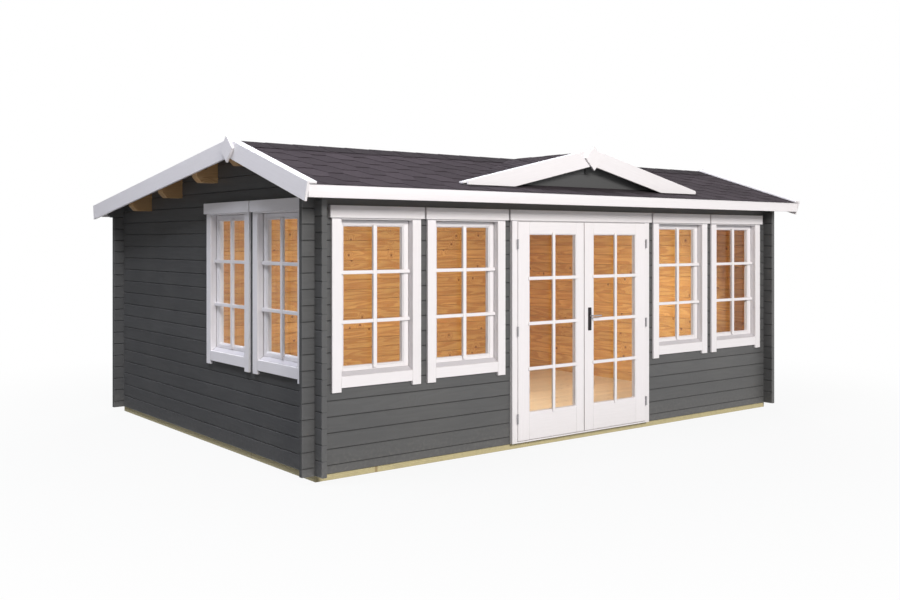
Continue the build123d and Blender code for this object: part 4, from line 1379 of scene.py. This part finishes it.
@dataclass
class WindowSet:
    """The six windows, each drawn with its outside towards -Y and its opening's foot at z = 0."""

    front_places: tuple[float, ...] = (-2.130, -1.287, 1.287, 2.130)
    side_places: tuple[float, ...] = (-1.376, -0.533)
    front_sill: float = 0.677
    side_sill: float = 0.734
    sash_half: float = 0.3245
    sash_levels: Point = (0.068, 1.1875)
    pane_half: float = 0.2575
    pane_levels: Point = (0.119, 1.1285)
    sash_face: float = 0.035
    sash_back: float = 0.077
    section: tuple[Point, ...] = (
        (0.0120, 0.0045), (0.0092, 0.0045), (0.0092, 0.0006), (0.0080, 0.0008),
        (0.0062, 0.0035), (0.0032, 0.0048), (0.0010, 0.0078), (0.0, 0.0120),
    )
    layer_lap: float = 0.0002
    daylight_half: float = 0.3145
    daylight_levels: Point = (0.078, 1.1775)
    gap: float = 0.004
    gap_depth: float = 0.009
    slope: tuple[Point, Point] = ((0.0, 0.055), (0.035, 0.078))
    flashing: float = 0.0018
    flashing_ease: float = 0.0004
    flashing_play: float = 0.0003
    bar_halves: Point = (0.016, 0.0135)
    bar_depth: Point = (0.017, 0.041)
    bar_ease: float = 0.003
    bar_drop: float = 0.006
    bar_pitch: float = 0.35717
    crossbar_reach: float = 0.3125
    ease: float = 0.0022

    def places(self) -> list[Matrix]:
        """Returns where each window's own axes lie."""
        turn = Matrix.Rotation(math.radians(-90), 4, "Z")
        fronts = [(x, CABIN.front, self.front_sill) for x in self.front_places]
        sides = [(CABIN.left, y, self.side_sill) for y in self.side_places]
        return [
            *(Matrix.Translation(place) for place in fronts),
            *(Matrix.Translation(place) @ turn for place in sides),
        ]

    def sash(self, piece: Joinery) -> None:
        """Adds one sash: stiles, rails, a moulding mitred round the pane, and the lattice.

        Args:
            piece: The mesh it goes into, set to the window's place.
        """
        low, high = self.sash_levels
        foot, head = self.pane_levels
        width = self.section[0][0]
        inner = self.pane_half + width
        face, back = self.sash_face, self.sash_back
        set_in = face + self.gap_depth
        lapped = set_in + self.layer_lap
        under, over = self.daylight_levels[0] + self.gap, self.daylight_levels[1] - self.gap
        layers = (
            (self.sash_half, set_in, back, low, high),
            (self.daylight_half - self.gap, face, lapped, under, over),
        )
        for way in (-1, 1):
            for reach, near, far, start, stop in layers:
                a, b = (way * inner, near, start), (way * reach, far, stop)
                piece.box(a, b, ALONG_Z, self.ease)
        for start, stop in ((low, foot - width), (head + width, high)):
            piece.box((-inner, set_in, start), (inner, back, stop), ALONG_X, self.ease)
            a, b = (-inner, face, max(start, under)), (inner, lapped, min(stop, over))
            piece.box(a, b, ALONG_X, self.ease)
        middle = (foot + head) / 2
        profile = moulding(self.section, face, back)
        piece.mitred((0.0, middle), (self.pane_half, (head - foot) / 2), profile)
        rows = 3
        upright = rows * self.bar_pitch / 2 - self.bar_halves[1]
        piece.lattice(
            (0.0, middle - self.bar_drop), (self.crossbar_reach, upright), self.bar_halves,
            self.bar_depth, rows, self.bar_pitch, self.bar_ease,
        )

    def flashings(self, finish: Finishes) -> None:
        """Builds the folded grey sheets on the sloping sills, turned up a little at the sash."""
        piece = Joinery("sill_flashings", 47)
        (y_low, z_low), (y_high, z_high) = self.slope
        sheet, edge = self.flashing, self.flashing_ease
        section = [
            (y_low - edge, z_low), (y_low - edge, z_low + sheet),
            (y_high - 2 * sheet, z_high + 0.4 * sheet), (y_high - sheet, z_high + 2 * sheet),
            (y_high, z_high + 2 * sheet), (y_high, z_high - sheet),
        ]
        reach = self.daylight_half - self.flashing_play
        for place in self.places():
            piece.at = place
            ends = [[Vector((x, y, z)) for y, z in section] for x in (-reach, reach)]
            piece.skin(*ends, ALONG_X, edge)
        piece.make(Body.SHELL, finish.flashing, [])

    def build(self, finish: Finishes) -> None:
        """Builds the sashes and the boards round them."""
        piece = Joinery("lattice_sashes", 41)
        for place in self.places():
            piece.at = place
            self.sash(piece)
        piece.make(Body.SHELL, finish.trim, ["window_sashes"])
        boards = (
            ("window_jambs", "window_frame_posts", 42),
            ("window_heads_and_sills", "window_frame_rails", 43),
            ("side_casings", "window_casings", 44),
            ("sill_boards", "window_rails", 45),
            ("lintel_boards", "head_boards", 46),
        )
        eased_copies(boards, self.ease, finish.trim)
        self.flashings(finish)
        dress(finish.glass, "window_glass")


@dataclass
class DoorSet:
    """The door's frame and its two leaves."""

    face: float = -1.928
    back: float = -1.884
    foot: float = 0.067
    head: float = 1.857
    pane_levels: Point = (0.293, 1.749)
    pane_reach: Point = (0.1115, 0.6385)
    outer: float = 0.7695
    meeting: Point = (-0.0145, -0.0055)
    section: tuple[Point, ...] = (
        (0.0080, 0.0006), (0.0068, 0.0009), (0.0050, 0.0028), (0.0022, 0.0042), (0.0, 0.0080),
    )
    bar_half: float = 0.014
    bar_depth: Point = (-1.938, -1.920)
    bar_ease: float = 0.0025
    bar_overrun: float = 0.023
    rows: int = 4
    facing: Point = (-1.924, -1.907)
    facing_reach: Point = (0.7725, 0.8295)
    facing_levels: tuple[float, float, float, float] = (0.050, 0.062, 1.8595, 1.8662)
    ease: float = 0.002

    def leaf(self, body: Body, way: int, finish: Finishes) -> None:
        """Builds one leaf.

        Args:
            body: The body it rides on.
            way: -1 for the left leaf and 1 for the right one.
            finish: The cabin's finishes.
        """
        piece = Joinery(f"{body.value}_joinery", 51 if way < 0 else 52)
        low_x, high_x = (-self.outer, self.meeting[0]) if way < 0 else (self.meeting[1], self.outer)
        pane_low, pane_high = sorted((way * self.pane_reach[0], way * self.pane_reach[1]))
        foot, head = self.pane_levels
        gap = self.section[0][0]
        for a, b in ((low_x, pane_low - gap), (pane_high + gap, high_x)):
            piece.box((a, self.face, self.foot), (b, self.back, self.head), ALONG_Z, self.ease)
        low_x, high_x = pane_low - gap, pane_high + gap
        for a, b in ((self.foot, foot - gap), (head + gap, self.head)):
            piece.box((low_x, self.face, a), (high_x, self.back, b), ALONG_X, self.ease)
        middle = ((pane_low + pane_high) / 2, (foot + head) / 2)
        half = ((pane_high - pane_low) / 2, (head - foot) / 2)
        piece.mitred(middle, half, moulding(self.section, self.face, self.back))
        piece.lattice(
            middle, (half[0] + self.bar_overrun, half[1] + self.bar_overrun),
            (self.bar_half, self.bar_half), self.bar_depth, self.rows,
            (2 * half[1] + 2 * self.bar_half) / self.rows, self.bar_ease,
        )
        node = "door_leaf_left" if way < 0 else "door_leaf_right"
        piece.make(body, finish.trim, [node])

    def facings(self, piece: Joinery, upright: bool) -> None:
        """Adds the facing boards that bring the frame almost flush with the leaves.

        Args:
            piece: The mesh they go into.
            upright: Whether to add the two up the jambs, or the head's and the threshold's.
        """
        near, far = self.facing
        inner, outer = self.facing_reach
        foot, sill, head, top = self.facing_levels
        if upright:
            for way in (-1, 1):
                piece.box((way * inner, near, foot), (way * outer, far, top), ALONG_Z, self.ease)
        else:
            for low, high in ((foot, sill), (head, top)):
                piece.box((-inner, near, low), (inner, far, high), ALONG_X, self.ease)

    def build(self, finish: Finishes) -> None:
        """Builds the frame and both leaves."""
        for name, node, seed in (
            ("door_jambs", "door_frame_posts", 53),
            ("door_head_and_threshold", "door_frame_rails", 54),
        ):
            piece = Joinery(name, seed)
            piece.from_node(node, self.ease)
            self.facings(piece, node == "door_frame_posts")
            piece.make(Body.SHELL, finish.trim, [node])
        self.leaf(Body.LEFT_LEAF, -1, finish)
        self.leaf(Body.RIGHT_LEAF, 1, finish)
        dress(finish.glass, "door_glass_left", "door_glass_right")


@dataclass
class Ironmongery:
    """Hinges, handle plates and levers."""

    pin: Point = (0.7785, -1.936)
    levels: tuple[float, ...] = (0.250, 0.963, 1.674)
    knuckle_radius: float = 0.007
    knuckle_height: float = 0.040
    sleeve_height: float = 0.0396
    play: float = 0.0004
    pin_sunk: float = 0.0002
    neck_half: float = 0.003
    neck_inset: float = 0.002
    neck_ease: float = 0.0005
    neck_depth: float = 0.0025
    neck_bite: float = 0.0005
    sleeve_neck: Point = (0.010, 0.002)
    leaf_face: float = -1.928
    leaf_back: float = -1.884
    facing: float = -1.924
    lever_x: float = 0.0545
    lever_z: float = 1.055
    plate_z: float = 1.026
    plate_half: Point = (0.019, 0.099)
    plate_thickness: float = 0.006
    stand: float = 0.046
    reach: float = 0.104
    bar_radius: float = 0.0065
    bend: float = 0.016
    bend_step: int = 15
    dome: tuple[int, ...] = (12, 35, 60, 90)
    dome_depth: float = 0.8
    pin_end: tuple[Point, ...] = (
        (0.0052, 0.0), (0.0050, 0.00006), (0.0038, 0.00016), (0.0016, 0.00022),
    )
    pin_rod: tuple[Point, ...] = ((0.0040, 0.0), (0.0040, 0.041))
    plate_edge: tuple[Point, ...] = (
        (-0.0064, 0.0), (-0.0018, 0.0), (-0.0005, 0.0006), (0.0, 0.0019),
    )
    plate_corner: float = 0.006
    rose: tuple[Point, ...] = (
        (0.0125, -0.002), (0.0125, 0.0030), (0.0118, 0.0040), (0.0088, 0.0042),
    )
    cylinder: tuple[Point, ...] = (
        (0.0085, -0.003), (0.0085, 0.0016), (0.0079, 0.0022), (0.0026, 0.0022), (0.0024, 0.0012),
    )
    cylinder_drop: float = 0.072
    keyway_half: float = 0.005
    keyway_depth: Point = (0.003, 0.0020)
    keyway_drops: Point = (0.0245, 0.004)
    keyway_ease: float = 0.0012
    screw_head: tuple[Point, ...] = (
        (0.9, -0.002), (1.0, 0.0002), (0.82, 0.0007), (0.45, 0.0010), (0.3, 0.0004),
    )
    screw_radius: float = 0.0036
    screw_rise: float = 0.086

    def barrel(self, piece: Joinery, foot: Vector, height: float) -> None:
        """Adds a hinge knuckle with softened ends."""
        radius, corner = self.knuckle_radius, 0.0009
        ends = ((corner, 0.0), (corner * 0.3, corner * 0.3), (0.0, corner))
        foot_end = [(radius - inset, rise) for inset, rise in ends]
        top_end = [(radius - inset, height - rise) for inset, rise in reversed(ends)]
        piece.turned(foot, ALONG_Z, [*foot_end, *top_end])

    def hinges(self, finish: Finishes) -> None:
        """Builds the pins and knuckles on the frame, and the sleeves on the leaves."""
        pins = Joinery("hinge_knuckles", 61)
        x, y = self.pin
        for way, side, body in ((-1, "left", Body.LEFT_LEAF), (1, "right", Body.RIGHT_LEAF)):
            sleeves = Joinery(f"hinge_barrels_{side}", 62)
            for level in self.levels:
                pin = Vector((way * x, y, level))
                self.barrel(pins, pin, self.knuckle_height)
                top = level + self.knuckle_height
                pins.turned(Vector((way * x, y, top - self.pin_sunk)), ALONG_Z, self.pin_end)
                pins.turned(pin - ALONG_Z * self.knuckle_height, ALONG_Z, self.pin_rod)
                half, inset = self.neck_half, self.neck_inset
                pins.box(
                    (way * (x - half), y + half, level + inset),
                    (way * (x + half), self.facing, top - inset), ALONG_Z, self.neck_ease,
                )
                top = level - self.play
                foot = top - self.sleeve_height
                self.barrel(sleeves, Vector((way * x, y, foot)), self.sleeve_height)
                far, near = self.sleeve_neck
                sleeves.box(
                    (way * (x - far), y + self.neck_depth, foot + inset),
                    (way * (x - near), self.leaf_face + self.neck_bite, top - inset), ALONG_Z,
                    self.neck_ease,
                )
            sleeves.make(body, finish.hinge, [f"hinge_sleeves_{side}"])
        pins.make(Body.SHELL, finish.hinge, ["hinge_pins"])

    def plates(self, finish: Finishes) -> None:
        """Builds the plates on the right leaf's faces, each with a cylinder and two screws."""
        piece = Joinery("lever_plates", 63)
        half_x, half_z = self.plate_half
        screw = [(self.screw_radius * share, rise) for share, rise in self.screw_head]
        for face, way in ((self.leaf_face, -1), (self.leaf_back, 1)):
            near = face + way * self.plate_thickness
            rings: list[Vector] = []
            for out, inset in self.plate_edge:
                corner = self.plate_corner - inset
                rings += self.rounded(half_x - inset, half_z - inset, corner, near + way * out)
            piece.rings(rings, len(rings) // len(self.plate_edge), ALONG_Z)
            out = Vector((0, way, 0))
            middle = Vector((self.lever_x, near, 0))
            piece.turned(middle + ALONG_Z * self.lever_z, out, self.rose)
            for rise in (-self.screw_rise, self.screw_rise):
                piece.turned(middle + ALONG_Z * (self.plate_z + rise), out, screw, 20)
            key = self.lever_z - self.cylinder_drop
            piece.turned(middle + ALONG_Z * key, out, self.cylinder)
            half, (sunk, proud) = self.keyway_half, self.keyway_depth
            low, high = (key - drop for drop in self.keyway_drops)
            piece.box(
                (self.lever_x - half, near - way * sunk, low),
                (self.lever_x + half, near + way * proud, high), ALONG_Z, self.keyway_ease,
            )
        piece.make(Body.RIGHT_LEAF, finish.plate, ["handle_plates"])

    def rounded(self, half_x: float, half_z: float, radius: float, y: float) -> list[Vector]:
        """Returns the corners of a round-cornered plate outline at one depth."""
        points = []
        for sx, sz, start in ((1, 1, 0), (-1, 1, 90), (-1, -1, 180), (1, -1, 270)):
            for k in range(5):
                turn = math.radians(start + k * 22.5)
                points.append(Vector((
                    self.lever_x + sx * (half_x - radius) + radius * math.cos(turn), y,
                    self.plate_z + sz * (half_z - radius) + radius * math.sin(turn),
                )))
        return points

    def levers(self, finish: Finishes) -> None:
        """Builds both levers and their spindle as one bent bar with domed ends."""
        piece = Joinery("bent_levers", 64)
        tip = self.lever_x + self.reach
        front, back = self.leaf_face - self.stand, self.leaf_back + self.stand
        radius = self.bar_radius
        turns = [math.radians(a) for a in self.dome]
        insets = [self.dome_depth * radius * (1 - math.cos(turn)) for turn in turns]
        swell = [radius * math.sin(turn) for turn in turns]
        path = [Vector((tip - inset, back, self.lever_z)) for inset in insets]
        for middle_y, start in ((back - self.bend, 90), (front + self.bend, 180)):
            for angle in range(start, start + 91, self.bend_step):
                turn = math.radians(angle)
                path.append(Vector((
                    self.lever_x + self.bend + self.bend * math.cos(turn),
                    middle_y + self.bend * math.sin(turn), self.lever_z,
                )))
        radii = [*swell, *[radius] * (len(path) - len(swell)), *reversed(swell)]
        path += [Vector((tip - inset, front, self.lever_z)) for inset in reversed(insets)]
        piece.tube(path, radii)
        piece.make(Body.LEVER, finish.lever, ["door_lever"])

    def build(self, finish: Finishes) -> None:
        """Builds all the ironmongery."""
        self.hinges(finish)
        self.plates(finish)
        self.levers(finish)


@dataclass
class Studio:
    """Camera, soft lamps and a pale floor that runs into a white backdrop."""

    place: tuple[float, float, float] = (-6.2218, -8.0497, 1.7042)
    heading: float = -37.805
    lens: float = 40.185
    shift: float = -0.0662
    world_strength: float = 0.16
    floor_half: float = 40.0
    floor_grey: Colour = (0.3, 0.3, 0.3, 1.0)
    floor_fade: tuple[float, float, float, float] = (2.5, 7.0, 0.92, 1.0)

    def camera(self) -> None:
        """Sets the camera at the photograph's viewing angle."""
        data = bpy.data.cameras.new("camera")
        data.sensor_width = 36.0
        data.lens = self.lens
        data.shift_y = self.shift
        data.clip_end = 200.0
        thing = placed("camera", data)
        thing.location = self.place
        thing.rotation_euler = (math.radians(90), 0.0, math.radians(self.heading))
        bpy.context.scene.camera = thing

    def lamp(
        self, name: str, place: Sequence[float], aim: Sequence[float], size: Point, power: float,
        colour: tuple[float, float, float] = (1.0, 1.0, 1.0),
    ) -> None:
        """Adds an area lamp, which neither the viewer nor a reflection sees.

        Args:
            name: Its name.
            place: Where it hangs.
            aim: What it points at.
            size: Its width and height.
            power: Its power in watts.
            colour: Its colour.
        """
        data = bpy.data.lights.new(name, "AREA")
        data.shape = "RECTANGLE"
        data.size, data.size_y = size
        data.energy = power
        data.color = colour
        thing = placed(name, data, ("camera", "glossy", "transmission"))
        thing.location = place
        thing.rotation_euler = (Vector(aim) - Vector(place)).to_track_quat("-Z", "Y").to_euler()

    def seen(self, g: Graph) -> Socket:
        """Returns 1 for rays that the viewer, a reflection or glass sends out."""
        path = g.node("ShaderNodeLightPath").outputs
        mirror = g.math("MAXIMUM", path["Is Glossy Ray"], path["Is Transmission Ray"])
        return g.math("MAXIMUM", path["Is Camera Ray"], mirror)

    def world(self) -> None:
        """Sets a plain sky light with a white backdrop."""
        world = bpy.data.worlds.new("studio")
        world.use_nodes = True
        world.node_tree.nodes.clear()
        g = Graph(world.node_tree)
        soft, white = (
            g.node("ShaderNodeBackground", {"Color": (1, 1, 1, 1), "Strength": strength})
            for strength in (self.world_strength, 1.0)
        )
        g.mixed_output("ShaderNodeOutputWorld", self.seen(g), soft, white)
        bpy.context.scene.world = world

    def floor(self) -> None:
        """Lays the floor, which keeps the cabin's shadow and fades to white away from it."""
        data = bpy.data.meshes.new("studio_floor")
        h = self.floor_half
        data.from_pydata([(-h, -h, 0), (h, -h, 0), (h, h, 0), (-h, h, 0)], [], [(0, 1, 2, 3)])
        placed("studio_floor", data)
        material, g = empty_material("studio_floor")
        matt = g.node("ShaderNodeBsdfDiffuse", {"Color": self.floor_grey})
        glow = g.node("ShaderNodeEmission", {"Color": (1, 1, 1, 1), "Strength": 1.0})
        away = g.step(g.vector("LENGTH", g.position()), *self.floor_fade)
        g.mixed_output("ShaderNodeOutputMaterial", g.times(self.seen(g), away), matt, glow)
        data.materials.append(material)

    def card(self) -> None:
        """Lays a dark card along the left wall and behind it, which only reflections see."""
        data = bpy.data.meshes.new("dark_card")
        near, far, side, low, high = -2.68, -18.0, 6.0, 0.002, 14.0
        data.from_pydata(
            [(far, CABIN.front, low), (near, CABIN.front, low), (near, side, low), (far, side, low),
             (near, side, high), (far, side, high)],
            [], [(0, 1, 2, 3), (3, 2, 4, 5)],
        )
        placed("dark_card", data, ("camera", "diffuse", "shadow", "transmission"))
        material, _, shader = new_material("dark_card")
        shader.inputs["Base Color"].default_value = (0.02, 0.02, 0.02, 1.0)
        shader.inputs["Roughness"].default_value = 1.0
        data.materials.append(material)

    def build(self) -> None:
        """Sets up camera, light and floor."""
        self.camera()
        self.world()
        self.floor()
        self.card()
        self.lamp("key", (-4.5, -25.0, 13.0), (0, 0, 1.0), (10.0, 7.0), 6850.0, (1.0, 0.98, 0.965))
        self.lamp("sky", (-6.4, -1.0, 12.5), (-1.5, 0, 1.0), (4.5, 4.5), 1850.0, (0.85, 0.89, 1.0))
        self.lamp("rear", (16.0, 18.0, 11.0), (0, 0, 1.0), (9.0, 7.0), 5600.0)
        self.lamp("room", (0.3, -1.35, 1.45), (0.3, 1.9, 0.30), (3.4, 0.7), 62.0)
        bpy.context.scene.view_settings.view_transform = "Standard"


def main() -> None:
    """Builds the cabin's sub-assemblies in order, then the studio."""
    finish = Finishes()
    for part in (LogShell(), MainRoof(), FalseGable(), WindowSet(), DoorSet(), Ironmongery()):
        log.info("building %s", type(part).__name__)
        part.build(finish)
    Studio().build()
    log.info("sizes written")


if __name__ == "__main__":
    main()
